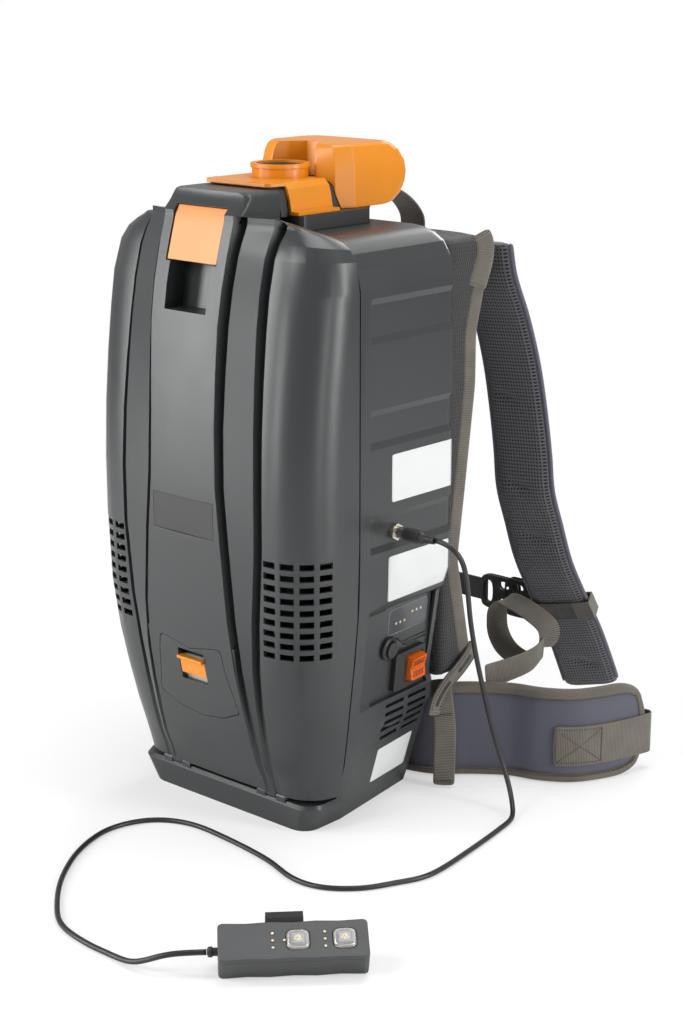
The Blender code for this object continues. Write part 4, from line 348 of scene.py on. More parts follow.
def spacer_mesh(name, colour, hole_shade, pitch=3.2 * MM):
    """Knitted mesh with staggered round holes, painted near black as the shade inside them."""
    paint = Paint(name)
    along, across, depth = paint.lay()
    lattice = along.wave(2 * pitch) * (across + depth).wave(2 * pitch * 0.8)
    open_share = abs(lattice).step(0.38, 0.7)
    yarn = paint.noise(2200, 2, 0.7)
    base = paint.mix(yarn, shade(colour, 0.75), shade(colour, 1.2))
    # painted shade: the holes take a near-black colour
    base = paint.mix(open_share, base, hole_shade)
    height = (1 - open_share) * 0.8 + yarn * 0.2
    paint.put(base_color=base, roughness=0.85, normal=paint.bump(height, 0.6 * MM))
    paint.shader.inputs["Sheen Weight"].default_value = 0.2
    return paint.material


def knit(name, colour):
    """Smooth fine knit of the belt's face."""
    paint = Paint(name)
    along, across, _ = paint.lay()
    rows = 0.5 + 0.25 * along.wave(0.8 * MM) + 0.25 * across.wave(0.9 * MM)
    fuzz = paint.noise(2400, 2, 0.7)
    cloud = paint.noise(25, 3)
    base = paint.mix(cloud * 0.6 + fuzz * 0.4, shade(colour, 0.85), shade(colour, 1.18))
    height = rows * 0.5 + fuzz * 0.5
    paint.put(base_color=base, roughness=0.8, normal=paint.bump(height, 0.12 * MM))
    paint.shader.inputs["Sheen Weight"].default_value = 0.35
    paint.shader.inputs["Sheen Roughness"].default_value = 0.45
    return paint.material


def glassy(name, colour, roughness, transmission, edge=0.5 * MM):
    paint = Paint(name)
    haze = paint.noise(220, 2)
    base = paint.mix(haze, shade(colour, 0.9), colour)
    paint.put(base_color=base, roughness=roughness + haze * 0.05, normal=paint.rounded(edge))
    paint.shader.inputs["Transmission Weight"].default_value = transmission
    return paint.material


def rough_stuff(name, colour, roughness, scale, depth):
    """Foam, paper, fleece or card."""
    paint = Paint(name)
    fibre = paint.noise(scale, 4, 0.7)
    base = paint.mix(fibre, shade(colour, 0.7), shade(colour, 1.15))
    paint.put(base_color=base, roughness=roughness, normal=paint.bump(fibre, depth))
    return paint.material


CHARCOAL = moulded("charcoal_plastic", tone(43, 46, 47), 0.33)
BLACK = moulded("black_plastic", tone(32, 32, 33), 0.45)
ORANGE = moulded("orange_plastic", tone(208, 126, 8), 0.34, 0.015 * MM, 1.2 * MM)
REMOTE = moulded("remote_grey", tone(62, 63, 64), 0.5, 0.05 * MM, 0.8 * MM)
RUBBER = moulded("rubber", tone(28, 28, 28), 0.7)
CORD_BLACK = moulded("cord_black", tone(20, 20, 21), 0.38, 0.01 * MM)
NICKEL = metal("nickel", tone(206, 200, 188), 0.2)
STEEL = metal("steel", tone(190, 190, 190), 0.3)
MOTOR = metal("motor_grey", tone(120, 120, 122), 0.45)
CLEAR = glassy("clear_key", tone(200, 200, 200), 0.12, 0.6)
AMBER = glassy("amber_rocker", tone(232, 106, 16), 0.16, 0.15)
GLASS = glassy("window_glass", tone(64, 66, 68), 0.1, 0.0)
LAMP = glassy("lamp_lens", tone(214, 204, 178), 0.2, 0.0, 0.2 * MM)
# darker amber of the rocker's ribs: painted shade
AMBER_RIB_SHADE = glassy("amber_shadow", tone(120, 42, 6), 0.25, 0.1)
# pale grey ring round the display: a painted highlight on its lit edge
WINDOW_RIM_HIGHLIGHT = glassy("window_rim_highlight", tone(120, 122, 124), 0.25, 0.0)
STICKER = moulded("white_sticker", tone(206, 207, 207), 0.4, 0.004 * MM, 0.1 * MM)
LATCH = moulded("latch_orange", tone(216, 134, 70), 0.4, 0.03 * MM, 1.5 * MM)
FOAM = rough_stuff("filter_foam", tone(60, 78, 105), 0.95, 900, 0.4 * MM)
PAPER = rough_stuff("filter_paper", tone(205, 203, 198), 0.95, 1200, 0.1 * MM)
FLEECE = rough_stuff("fleece", tone(206, 203, 194), 0.95, 1100, 0.2 * MM)
CARD = rough_stuff("card", tone(160, 138, 110), 0.9, 700, 0.1 * MM)
BOARD = rough_stuff("circuit_board", tone(22, 90, 62), 0.5, 300, 0.05 * MM)
TAUPE = woven("taupe_webbing", tone(112, 106, 97), tone(58, 54, 48))
TAPE = woven("taupe_tape", tone(106, 99, 90), tone(66, 60, 54), 0.9 * MM)
# the last colour of each mesh is the painted shade in its holes
MESH = spacer_mesh("dark_mesh", tone(92, 93, 97), tone(9, 9, 10), 3.9 * MM)
PAD_MESH = spacer_mesh("pad_mesh", tone(40, 40, 43), tone(8, 8, 9), 3.9 * MM)
ELASTIC = woven("dark_elastic", tone(48, 48, 50), tone(26, 26, 28), 1.1 * MM, at_rest=True)
BAND = woven("chest_band", tone(50, 50, 52), tone(26, 26, 28), 1.1 * MM, at_rest=True, ends=tone(112, 106, 97))
BUCKLE = moulded("buckle_plastic", tone(40, 39, 36), 0.34, 0.02 * MM, 0.8 * MM)
THREAD = moulded("taupe_thread", tone(66, 60, 54), 0.75, 0.02 * MM, 0.1 * MM)
DARK_THREAD = moulded("dark_thread", tone(34, 32, 31), 0.75, 0.02 * MM, 0.1 * MM)
SLATE = knit("slate_cloth", tone(74, 74, 86))

FINISHES = (
    (CHARCOAL, "rear_housing front_cover filter_hatch"),
    (BLACK, "top_deck chamber_floor fan_shroud motor_plate battery_pack switch_bezel"),
    (BLACK, "breaker_body breaker_button cord_plug remote_gland remote_clip harness_board"),
    (BLACK, "chest_buckle_plug chest_buckle_socket badge_plate inlet_pipe"),
    (LATCH, "cover_latch"),
    (ORANGE, "hatch_latch inlet_saddle rear_hood"),
    (REMOTE, "remote_base remote_lid"),
    (CLEAR, "remote_key_1 remote_key_2"),
    (AMBER, "switch_rocker"),
    (GLASS, "display_window"),
    (NICKEL, "connector_socket"),
    (STEEL, "hinge_pin_left hinge_pin_right latch_pin fan_impeller"),
    (RUBBER, "inlet_seal"),
    (CORD_BLACK, "control_cord"),
    (FOAM, "motor_filter"),
    (PAPER, "exhaust_filter"),
    (FLEECE, "dust_bag"),
    (CARD, "bag_plate"),
    (MOTOR, "motor"),
    (BOARD, "control_board"),
    (MESH, "back_pad shoulder_strap_left shoulder_strap_right"),
    (SLATE, "hip_belt_left hip_belt_right"),
    (BAND, "chest_band_left chest_band_right"),
    (ELASTIC, "chest_webbing_left chest_webbing_right"),
    (TAUPE, "hip_webbing_left hip_webbing_right lower_strap_left lower_strap_right"),
    (TAUPE, "bottom_tab_left bottom_tab_right grab_loop"),
)


def soften(data, widest=math.radians(17)):
    """Shades a faceted solid smooth over every edge that turns less than this."""
    data.shade_smooth()
    corners = np.empty(len(data.loops), int)
    data.loops.foreach_get("vertex_index", corners)
    spots = np.empty(3 * len(data.vertices))
    data.vertices.foreach_get("co", spots)
    spots = spots.reshape(-1, 3)[corners]
    faces = np.empty(3 * len(data.polygons))
    data.polygons.foreach_get("normal", faces)
    areas = np.empty(len(data.polygons))
    data.polygons.foreach_get("area", areas)
    owner = np.arange(len(corners)) // 3
    normals, areas = faces.reshape(-1, 3)[owner], areas[owner]
    turn = np.arange(len(corners))
    before, after = spots[owner * 3 + (turn + 2) % 3], spots[owner * 3 + (turn + 1) % 3]
    one, two = before - spots, after - spots
    cosine = (one * two).sum(1) / (np.linalg.norm(one, axis=1) * np.linalg.norm(two, axis=1) + 1e-12)
    weights = np.arccos(np.clip(cosine, -1, 1)) * areas
    _, place = np.unique(np.round(spots / (0.004 * MM)).astype(np.int64), axis=0, return_inverse=True)
    order = np.argsort(place.ravel(), kind="stable")
    ends = np.flatnonzero(np.diff(place.ravel()[order])) + 1
    smooth = np.empty_like(normals)
    for group in np.split(order, ends):
        near = normals[group] @ normals[group].T > math.cos(widest)
        total = near @ (normals[group] * weights[group][:, None])
        smooth[group] = total / (np.linalg.norm(total, axis=1)[:, None] + 1e-12)
    data.normals_split_custom_set(smooth)


def dress_nodes():
    """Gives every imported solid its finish."""
    for finish, names in FINISHES:
        for name in names.split():
            data = NODES[name].data
            data.materials.clear()
            data.materials.append(finish)
            soften(data)


# ---- shapes --------------------------------------------------------------------------------
def smooth_path(points, count):
    """Points at even steps along a smooth curve through the given ones."""
    knots = [Vector(p) for p in points]
    ends = [2 * knots[0] - knots[1], *knots, 2 * knots[-1] - knots[-2]]
    fine = []
    for i in range(1, len(ends) - 2):
        a, b, c, d = ends[i - 1 : i + 3]
        for step in range(16):
            t = step / 16
            even = 2 * b + (c - a) * t
            bend = (2 * a - 5 * b + 4 * c - d) * t * t
            turn = (3 * b - a - 3 * c + d) * t**3
            fine.append(0.5 * (even + bend + turn))
    fine.append(knots[-1])
    lengths = [0.0]
    for p, q in zip(fine, fine[1:]):
        lengths.append(lengths[-1] + (q - p).length)
    result = []
    spot = 0
    for i in range(count):
        goal = lengths[-1] * i / (count - 1)
        while spot < len(fine) - 2 and lengths[spot + 1] < goal:
            spot += 1
        step = lengths[spot + 1] - lengths[spot]
        share = (goal - lengths[spot]) / step if step else 0
        result.append(fine[spot].lerp(fine[spot + 1], min(share, 1)))
    return result


def shape_at(points, share):
    """Value at a share of the height, straight between the given points."""
    for (a, low), (b, high) in zip(points, points[1:]):
        if share <= b:
            return low + (high - low) * max(share - a, 0) / (b - a)
    return points[-1][1]


def add_mesh(name, bm, finish, body, smooth=True):
    """Puts a new piece in the scene, riding on a body."""
    bmesh.ops.recalc_face_normals(bm, faces=bm.faces)
    data = bpy.data.meshes.new(name)
    bm.to_mesh(data)
    bm.free()
    data.materials.append(finish)
    if smooth:
        data.shade_smooth()
    piece = bpy.data.objects.new(name, data)
    bpy.context.scene.collection.objects.link(piece)
    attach(piece, body)
    return piece


def frames_along(path, across):
    """(point, side, up) at each point of a path; across is a width direction for each."""
    made = []
    last = len(path) - 1
    for i, point in enumerate(path):
        ahead = (path[min(i + 1, last)] - path[max(i - 1, 0)]).normalized()
        side = Vector(across(i))
        side = (side - ahead * side.dot(ahead)).normalized()
        made.append((point, side, ahead.cross(side)))
    return made


def sweep(name, frames, section, finish, body=BACK, levels=2):
    """A section of (u, v) points swept through frames, with the cloth's own coordinates.

    section is a list, or a function of the frame's number that gives one."""
    bm = bmesh.new()
    lay = bm.verts.layers.float_vector.new("lay")
    rows, along, last = [], 0.0, frames[0][0]
    for i, (point, side, up) in enumerate(frames):
        along += (point - last).length
        last = point
        row = []
        for u, v in section(i) if callable(section) else section:
            vert = bm.verts.new(point + side * u + up * v)
            vert[lay] = (along, u, v)
            row.append(vert)
        rows.append(row)
    for low, high in zip(rows, rows[1:]):
        for i in range(len(low)):
            j = (i + 1) % len(low)
            bm.faces.new((low[i], low[j], high[j], high[i]))
    bm.faces.new(rows[0])
    bm.faces.new(rows[-1])
    piece = add_mesh(name, bm, finish, body)
    if levels:
        subdivide(piece, levels)
    return piece


def subdivide(piece, levels):
    step = piece.modifiers.new("smooth", "SUBSURF")
    step.levels = levels
    step.render_levels = levels


def flat_section(half_width, half_thick, edge=None):
    """A flat strap's section, with points close to its edges so that they stay crisp."""
    e = edge or half_thick * 0.7
    w, h = half_width, half_thick
    right = [(w - 2 * e, -h), (w - 0.4 * e, -h), (w, -h * 0.4), (w, h * 0.4), (w - 0.4 * e, h), (w - 2 * e, h)]
    left = [(-u, v) for u, v in reversed(right)]
    return right + left


# ---- cord ---------------------------------------------------------------------------------------
def control_cord():
    """The one cord, from its plug down to the floor and to the hand control."""
    start = Vector((SOCKET_X + 0.3 * MM, SOCKET_Y, SOCKET_Z))
    in_remote = REMOTE_FRAME @ Matrix(((0, 0, 1, 0), (1, 0, 0, 0), (0, 1, 0, 0), (0, 0, 0, 1)))
    gland = Vector((REMOTE_WIDTH / 2, REMOTE_HEIGHT / 2, -9.3 * MM))
    before = in_remote @ (gland - Vector((0, 0, 16 * MM)))
    route = [start, start + Vector((8 * MM, 0.4 * MM, 0))]
    route += [Vector(point) * MM for point in CORD_HANGING]
    route += [Vector((x * MM, y * MM, CORD_REST)) for x, y in CORD_FLOOR]
    route += [Vector(point) * MM for point in CORD_RISE]
    route += [before, in_remote @ gland]
    points = smooth_path(route, 260)
    for _ in range(5):  # eases the bends, the two ends held
        eased = [0.5 * b + 0.25 * (a + c) for a, b, c in zip(points, points[1:], points[2:])]
        points = points[:2] + eased[1:-1] + points[-2:]
        for point in points:
            point.z = max(point.z, CORD_REST)
    cord = tube("cord", points, CORD_DIAMETER / 2, CORD_BLACK, BACK, 14)
    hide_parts("control_cord")
    length = sum((b - a).length for a, b in zip(points, points[1:]))


# ---- harness ----------------------------------------------------------------------------------------
def pad_back(z):
    """How far back the pad reaches at a height."""
    share = (z - PAD_LOW) / (PAD_TOP - PAD_LOW)
    return PAD_FRONT + PAD_DEPTH * shape_at(PAD_SHAPE, share)


def puffed(half, thick, dent=None, steps=9, power=6):
    """Section of a padded strap: full in the middle, thin where it is sewn at its edges."""
    points = []
    for face in (1, -1):
        for i in range(steps * 2 + 1):
            share = face * (1 - i / steps)
            height = thick * max(1 - abs(share) ** power, 0.04) ** 0.5
            height -= 0.22 * thick * math.exp(-(((abs(share) - 0.86) / 0.04) ** 2))
            if dent:
                height -= dent(share, face)
            points.append((half * share, face * height))
    return points


def stitches(name, line, body=BACK, pitch=3.2 * MM, length=2.3 * MM, radius=0.45 * MM, finish=None):
    """A row of thread along (point, normal) pairs, each stitch a short rounded bar."""
    bm = bmesh.new()
    spent = 0.0
    for (start, normal), (end, _) in zip(line, line[1:]):
        span = (end - start).length
        while spent < span:
            ahead = (end - start).normalized()
            side = ahead.cross(normal).normalized() * radius
            lift = normal.normalized() * radius
            spot = start + ahead * spent
            rings = []
            for shift, size in ((-0.5, 0.35), (-0.3, 1), (0.3, 1), (0.5, 0.35)):
                middle = spot + ahead * length * shift
                turn = ((1, 0), (0.5, 1), (-0.5, 1), (-1, 0), (0, -0.7))
                rings.append([bm.verts.new(middle + (side * u + lift * v) * size) for u, v in turn])
            for low, high in zip(rings, rings[1:]):
                for k in range(5):
                    bm.faces.new((low[k], low[(k + 1) % 5], high[(k + 1) % 5], high[k]))
            bm.faces.new(rings[0])
            bm.faces.new(rings[-1])
            spent += pitch
        spent -= span
    return add_mesh(name, bm, finish or THREAD, body)


def back_pad():
    """The quilted pad against the wearer's back, with its taupe edging."""
    frames = []
    count = 56
    for i in range(count + 1):
        z = PAD_LOW + (PAD_TOP - PAD_LOW) * i / count
        frames.append((Vector((0, (PAD_FRONT + pad_back(z)) / 2, z)), Vector((1, 0, 0)), Vector((0, 1, 0))))

    def section(i):
        z = frames[i][0].z
        deep = (pad_back(z) - PAD_FRONT) / 2
        half = PAD_HALF_WIDTH - 2 * MM
        swell = 2.5 * MM * (0.5 - 0.5 * math.cos(2 * math.pi * (z - PAD_LOW) / (112 * MM)))
        right = [(half - 14 * MM, -deep), (half - 4 * MM, -deep + MM), (half, -deep + 6 * MM)]
        right += [(half - MM, 0), (half, deep - 7 * MM), (half - 5 * MM, deep - 3 * MM), (half - 16 * MM, deep - MM)]
        right += [(0.62 * half, deep - 3 * MM + swell), (0.4 * half, deep - 2.5 * MM + swell)]
        right += [(0.22 * half, deep - 5 * MM), (0.1 * half, deep - 7 * MM)]
        return right + [(-u, v) for u, v in reversed(right)]

    pad = sweep("pad_body", frames, section, PAD_MESH, levels=1)
    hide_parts("back_pad")
    for side, name in ((-1, "left"), (1, "right")):
        line = []
        for i in range(count + 1):
            z = PAD_LOW + 4 * MM + (PAD_TOP - PAD_LOW - 8 * MM) * i / count
            line.append(Vector((side * (PAD_HALF_WIDTH - 2 * MM), pad_back(z) - 6 * MM, z)))
        edge = frames_along(line, lambda i: (side * 0.35, 0.94, 0))
        sweep("pad_edging_" + name, edge, puffed(7.5 * MM, 2.4 * MM, steps=5), TAUPE, levels=1)
        seam = [(point + across * -5 * MM + up * 2.2 * MM * side, up * side) for point, across, up in edge]
        stitches("pad_stitch_" + name, seam[2:-6])
        cap = []
        for z in (508, 509, 512, 520, 535, 548, 558, 560.5):
            cap.append(Vector((side * (PAD_HALF_WIDTH - 1.6 * MM), pad_back(z * MM) - 9.5 * MM, z * MM)))
        wide = (10.5, 11.5, 11.8, 11.8, 11.8, 11.6, 10.8, 9)
        thick = (2.6, 3.6, 3.9, 3.7, 3.7, 3.7, 3.4, 2)
        sleeve = frames_along(cap, lambda i: (side * 0.35, 0.94, 0))
        sweep(
            "pad_cap_" + name,
            sleeve,
            lambda i: puffed(wide[i] * MM, thick[i] * MM, steps=5),
            TAUPE,
            levels=1,
        )
        spot, along, rise = sleeve[2]
        rise = rise * side
        foot = [(spot + along * u * MM + rise * 4 * MM, rise) for u in range(-10, 11, 2)]
        stitches("pad_cap_stitch_" + name, foot)


def strap_frames(side, count=120):
    points = [(side * STRAP_X, y * MM, z * MM) for y, z in STRAP_LINE]
    path = smooth_path(points, count)

    def across(i):
        turn = math.radians(6 + 1.4 * i * 14 / (count - 1))
        return side * math.cos(turn), math.sin(turn), 0

    return frames_along(path, across)


def shoulder_strap(side, name):
    """Padded strap: mesh faces with short sewn creases, and a narrow piped outer edge."""
    frames = strap_frames(side)
    half = STRAP_WIDTH / 2
    inner = half - 2.5 * MM

    def section(i):
        z = frames[i][0].z

        def dent(share, face):
            if face != side:
                return 0
            total = 0
            for height, middle, width in STRAP_CREASES:
                slope = (z - height + 9 * MM * (share - middle)) / (3.2 * MM)
                total += 3.6 * MM * math.exp(-slope * slope - ((share - middle) / width) ** 4)
            return total

        return puffed(inner, STRAP_HALF - 0.2 * MM, dent)

    strap = sweep("strap_" + name, frames, section, MESH, levels=1)
    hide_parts("shoulder_strap_" + name)
    for edge, end, wide in ((-1, "inner", 1.9), (1, "outer", 2.9)):
        moved = []
        for point, across, up in frames[::2]:
            moved.append((point + across * edge * (half - wide * MM), across, up))
        section = puffed(wide * MM, 2.7 * MM, steps=4, power=3)
        sweep(f"strap_edging_{name}_{end}", moved, section, SLATE, levels=1)


def belt_frames(side, count=60):
    points = [(side * x * MM, y * MM, BELT_HEIGHT / 2 + MM) for x, y in BELT_LINE]
    path = smooth_path(points, count)
    return frames_along(path, lambda i: (0, 0, 1))


def belt_half_height(frames, i):
    left = (frames[-1][0] - frames[i][0]).length
    round_end = 38 * MM
    high = BELT_HEIGHT / 2
    if left < round_end:
        high -= round_end * (1 - math.sqrt(1 - (1 - left / round_end) ** 2)) * 0.8
    return high


def hip_belt(side, name):
    """Padded belt wing: smooth cloth, bound round its edge in taupe tape."""
    frames = belt_frames(side)
    inset = 2.5 * MM

    def section(i):
        return puffed(belt_half_height(frames, i) - inset, BELT_HALF - 0.2 * MM, power=8)

    belt = sweep("belt_" + name, frames, section, SLATE, levels=1)
    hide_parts("hip_belt_" + name)
    low, high = [], []
    for i, (point, up, out) in enumerate(frames):
        reach = belt_half_height(frames, i)
        low.append((point - up * (reach - 3.6 * MM), out))
        high.append((point + up * (reach - 6.2 * MM), out))
    point, up, out = frames[-1]
    back = (frames[-1][0] - frames[-2][0]).normalized() * 5 * MM
    reach = belt_half_height(frames, len(frames) - 1)
    tip = [(point - back + up * reach * share, out) for share in (-0.45, 0, 0.45)]
    outline = low[2:-2] + tip + list(reversed(high[2:-2]))
    tape = []
    for i, (spot, out) in enumerate(outline):
        ahead = (outline[min(i + 1, len(outline) - 1)][0] - outline[max(i - 1, 0)][0]).normalized()
        tape.append((spot, ahead.cross(out).normalized(), out))

    def wide(i):
        share = i / (len(tape) - 1)
        return puffed((3.4 + 3.6 * share) * MM, 6.7 * MM, steps=5, power=4)

    sweep("belt_binding_" + name, tape, wide, TAPE, levels=1)
    for face in (-1, 1):
        seam = []
        for i, (spot, inward, out) in enumerate(tape):
            share = i / (len(tape) - 1)
            seam.append((spot - inward * (2.4 + 2.6 * share) * MM + out * face * 6.35 * MM, out * face))
        stitches(f"belt_stitch_{name}_{'out' if face < 0 else 'in'}", seam)


def hip_webbing(side, name):
    """Broad webbing sewn on the wing, which runs round its end and back inside."""
    frames = belt_frames(side, 64)
    first = 43
    lift = BELT_HALF + 1.5 * MM
    outer = [(p - out * side * -lift, out) for p, _, out in frames[first:]]
    inner = [(p - out * side * lift, out) for p, _, out in frames[-13:]]
    end, _, out = frames[-1]
    ahead = (frames[-1][0] - frames[-2][0]).normalized()
    turn = []
    for degrees in (20, 50, 80, 110, 140, 160):
        angle = math.radians(degrees)
        turn.append((end + ahead * (1.5 * MM + lift * math.sin(angle)) + out * side * lift * math.cos(angle), out))
    path = [spot for spot, _ in outer + turn + list(reversed(inner))]
    level = BELT_HEIGHT / 2 + MM - HIP_WEBBING_Z
    path = [point - Vector((0, 0, level)) for point in path]
    webbing = frames_along(path, lambda i: (0, 0, 1))
    piece = sweep(
        "hip_web_" + name, webbing, flat_section(HIP_WEBBING / 2, WEB_HALF), TAUPE, levels=1
    )
    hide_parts("hip_webbing_" + name)
    half = HIP_WEBBING / 2 - 3.5 * MM
    sign = 1 if webbing[0][2].dot(outer[0][1] * side) > 0 else -1

    def spot(along, high):
        index = min(along, len(webbing) - 2)
        low = int(index)
        p, q = webbing[low], webbing[low + 1]
        point = p[0].lerp(q[0], index - low)
        return point + p[1] * high + p[2] * sign * WEB_HALF, p[2] * sign

    corners = [(0.6, -half), (9, -half), (9, half), (0.6, half), (0.6, -half), (9, half), (9, -half), (0.6, half)]
    line = []
    for (a, b), (c, d) in zip(corners, corners[1:]):
        line += [spot(a + (c - a) * k / 10, b + (d - b) * k / 10) for k in range(10)]
    stitches("hip_stitch_" + name, line, pitch=2.6 * MM, length=1.9 * MM)


def webbings():
    """Webbing straps that keep their solids' paths."""
    for side, name in ((-1, "left"), (1, "right")):
        path = smooth_path([(side * x * MM, y * MM, z * MM) for x, y, z in LOWER_LINE], 24)
        lower = sweep(
            "lower_strap_web_" + name,
            frames_along(path, lambda i: (0, 0.35, 1)),
            flat_section(WEBBING / 2, WEB_HALF),
            TAUPE,
            levels=1,
        )
        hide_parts("lower_strap_" + name)
        path = smooth_path([(side * x * MM, y * MM, z * MM) for x, y, z in TAB_LINE], 22)
        tab_frames = frames_along(path, lambda i: (side, 0.8, 0))
        flat = flat_section(11 * MM, 1.8 * MM)
        tab = sweep("bottom_tab_web_" + name, tab_frames, flat, TAUPE, levels=1)
        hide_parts("bottom_tab_" + name)
        for number, at in ((1, 7), (2, 20)):
            p, across, up = tab_frames[at]
            face = up if up.y < 0 else -up
            for shift in (-0.9 * MM, 0.9 * MM):
                lift = Vector((0, 0, shift))
                row = [(p + across * u * MM + face * 1.9 * MM + lift, face) for u in range(-9, 10, 3)]
                letter = "a" if shift < 0 else "b"
                stitches(f"tab_stitch_{name}_{number}_{letter}", row, finish=DARK_THREAD)
        curl = smooth_path([(side * x * MM, y * MM, z * MM) for x, y, z in CURL_LINE], 44)
        sweep(
            "webbing_curl_" + name,
            frames_along(curl, lambda i: (side * 0.4, 1, 0.3)),
            flat_section(WEBBING / 2, WEB_HALF),
            TAUPE,
            levels=1,
        )
        fold = smooth_path([(side * x * MM, y * MM, z * MM) for x, y, z in FOLD_LINE], 30)
        fold_frames = frames_along(fold, lambda i: (0, 0.7, -0.7))
        flat = flat_section(8.5 * MM, 1.6 * MM)
        sweep("corner_fold_" + name, fold_frames, flat, TAUPE, levels=1)
        out = Vector((side, 0, 0))
        for number, (a, b) in enumerate(((4, 13), (16, 27)), 1):
            slot = [(p + out * 0.9 * MM, across, up) for p, across, up in fold_frames[a:b]]
            flat = flat_section(2.6 * MM, 1.2 * MM)
            sweep(f"fold_slot_{name}_{number}", slot, flat, BLACK, levels=1)
        for number, shift in enumerate((-6.2 * MM, 6.2 * MM), 1):
            seam = [(p + across * shift + out * 1.8 * MM, out) for p, across, _ in fold_frames[2:-2]]
            stitches(f"fold_stitch_{name}_{number}", seam, finish=DARK_THREAD)
    path = smooth_path([(0, y * MM, z * MM) for y, z in GRAB_LINE], 48)
    loop = sweep(
        "grab_loop_web",
        frames_along(path, lambda i: (1, 0, 0)),
        flat_section(16 * MM, MM),
        TAUPE,
        levels=1,
    )
    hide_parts("grab_loop")


# ---- fittings on the hard parts ----------------------------------------------------------------------
def stickers():
    """Blank white stickers that follow the side panel, with round corners."""
    side = BVHTree.FromPolygons(
        [v.co for v in NODES["rear_housing"].data.vertices],
        [tuple(f.vertices) for f in NODES["rear_housing"].data.polygons],
    )
    corner = 2.5 * MM
    for name, y0, y1, z0, z1 in STICKERS:
        y0, y1, z0, z1 = y0 * MM, y1 * MM, z0 * MM, z1 * MM
        levels = [0, 0.2, 0.5, 1, 1.6, 2.5]
        rows = [z0 + v * MM for v in levels]
        rows += [z0 + corner + (z1 - z0 - 2 * corner) * k / 12 for k in range(1, 12)]
        rows += [z1 - v * MM for v in reversed(levels)]
        bm = bmesh.new()
        lay = bm.verts.layers.float_vector.new("lay")
        grid = []
        for z in rows:
            near = min(z - z0, z1 - z, corner)
            inset = corner - math.sqrt(corner**2 - (corner - near) ** 2)
            row = []
            for k in range(25):
                y = y0 + inset + (y1 - y0 - 2 * inset) * k / 24
                spot, normal, _, _ = side.ray_cast(Vector((0.3, y, z)), Vector((-1, 0, 0)))
                vert = bm.verts.new(spot + normal * 0.12 * MM)
                vert[lay] = (y, z, 0)
                row.append(vert)
            grid.append(row)
        for low, high in zip(grid, grid[1:]):
            for k in range(24):
                bm.faces.new((low[k], low[k + 1], high[k + 1], high[k]))
        piece = add_mesh("sticker_" + name, bm, STICKER, BACK)
        step = piece.modifiers.new("thick", "SOLIDIFY")
        step.thickness = 0.22 * MM
        step.offset = 1
        step.use_even_offset = True


def tube(name, points, radius, finish, body, sides=8, closed=False):
    """A thin round moulding along points."""
    bm = bmesh.new()
    count = len(points)
    rows = []
    for i, point in enumerate(points):
        after = points[(i + 1) % count] if closed else points[min(i + 1, count - 1)]
        before = points[i - 1] if closed or i else points[0]
        ahead = (after - before).normalized()
        if rows:
            last = rows[-1][1]
            side = (last - ahead * last.dot(ahead)).normalized()
        else:
            side = ahead.orthogonal().normalized()
        up = ahead.cross(side)
        size = radius(i / (count - 1)) if callable(radius) else radius
        ring = []
        for k in range(sides):
            turn = 2 * math.pi * k / sides
            ring.append(bm.verts.new(point + (side * math.cos(turn) + up * math.sin(turn)) * size))
        rows.append((ring, side))
    rings = [ring for ring, _ in rows]
    pairs = list(zip(rings, rings[1:]))
    for low, high in pairs:
        for k in range(sides):
            bm.faces.new((low[k], low[(k + 1) % sides], high[(k + 1) % sides], high[k]))
    if closed:
        low, high = rings[-1], rings[0]
        best = min(range(sides), key=lambda shift: (low[0].co - high[shift].co).length)
        for k in range(sides):
            a, b = (k + best) % sides, (k + 1 + best) % sides
            bm.faces.new((low[k], low[(k + 1) % sides], high[b], high[a]))
    else:
        bm.faces.new(rings[0])
        bm.faces.new(rings[-1])
    return add_mesh(name, bm, finish, body)


def rounded_box(width, height, corner, steps=5, centre=(0, 0)):
    """(u, v) points of a rectangle with round corners."""
    points = []
    for turn, (su, sv) in enumerate(((1, 1), (-1, 1), (-1, -1), (1, -1))):
        for k in range(steps + 1):
            angle = math.radians(90 * (turn + k / steps))
            points.append((
                centre[0] + su * (width / 2 - corner) + corner * math.cos(angle),
                centre[1] + sv * (height / 2 - corner) + corner * math.sin(angle),
            ))
    return points


def dome(name, frame, centre, radius, height, finish, body, sides=12):
    """A small round lens or button on a frame's own plane."""
    bm = bmesh.new()
    rings = []
    for share in (0, 0.35, 0.7, 0.9):
        size = radius * math.cos(share * math.pi / 2)
        level = height * math.sin(share * math.pi / 2)
        ring = []
        for k in range(sides):
            turn = 2 * math.pi * k / sides
            u, v = centre[0] + size * math.cos(turn), centre[1] + size * math.sin(turn)
            ring.append(bm.verts.new(frame @ Vector((u, v, centre[2] + level))))
        rings.append(ring)
    for low, high in zip(rings, rings[1:]):
        for k in range(sides):
            bm.faces.new((low[k], low[(k + 1) % sides], high[(k + 1) % sides], high[k]))
    bm.faces.new(rings[0])
    bm.faces.new(rings[-1])
    return add_mesh(name, bm, finish, body)


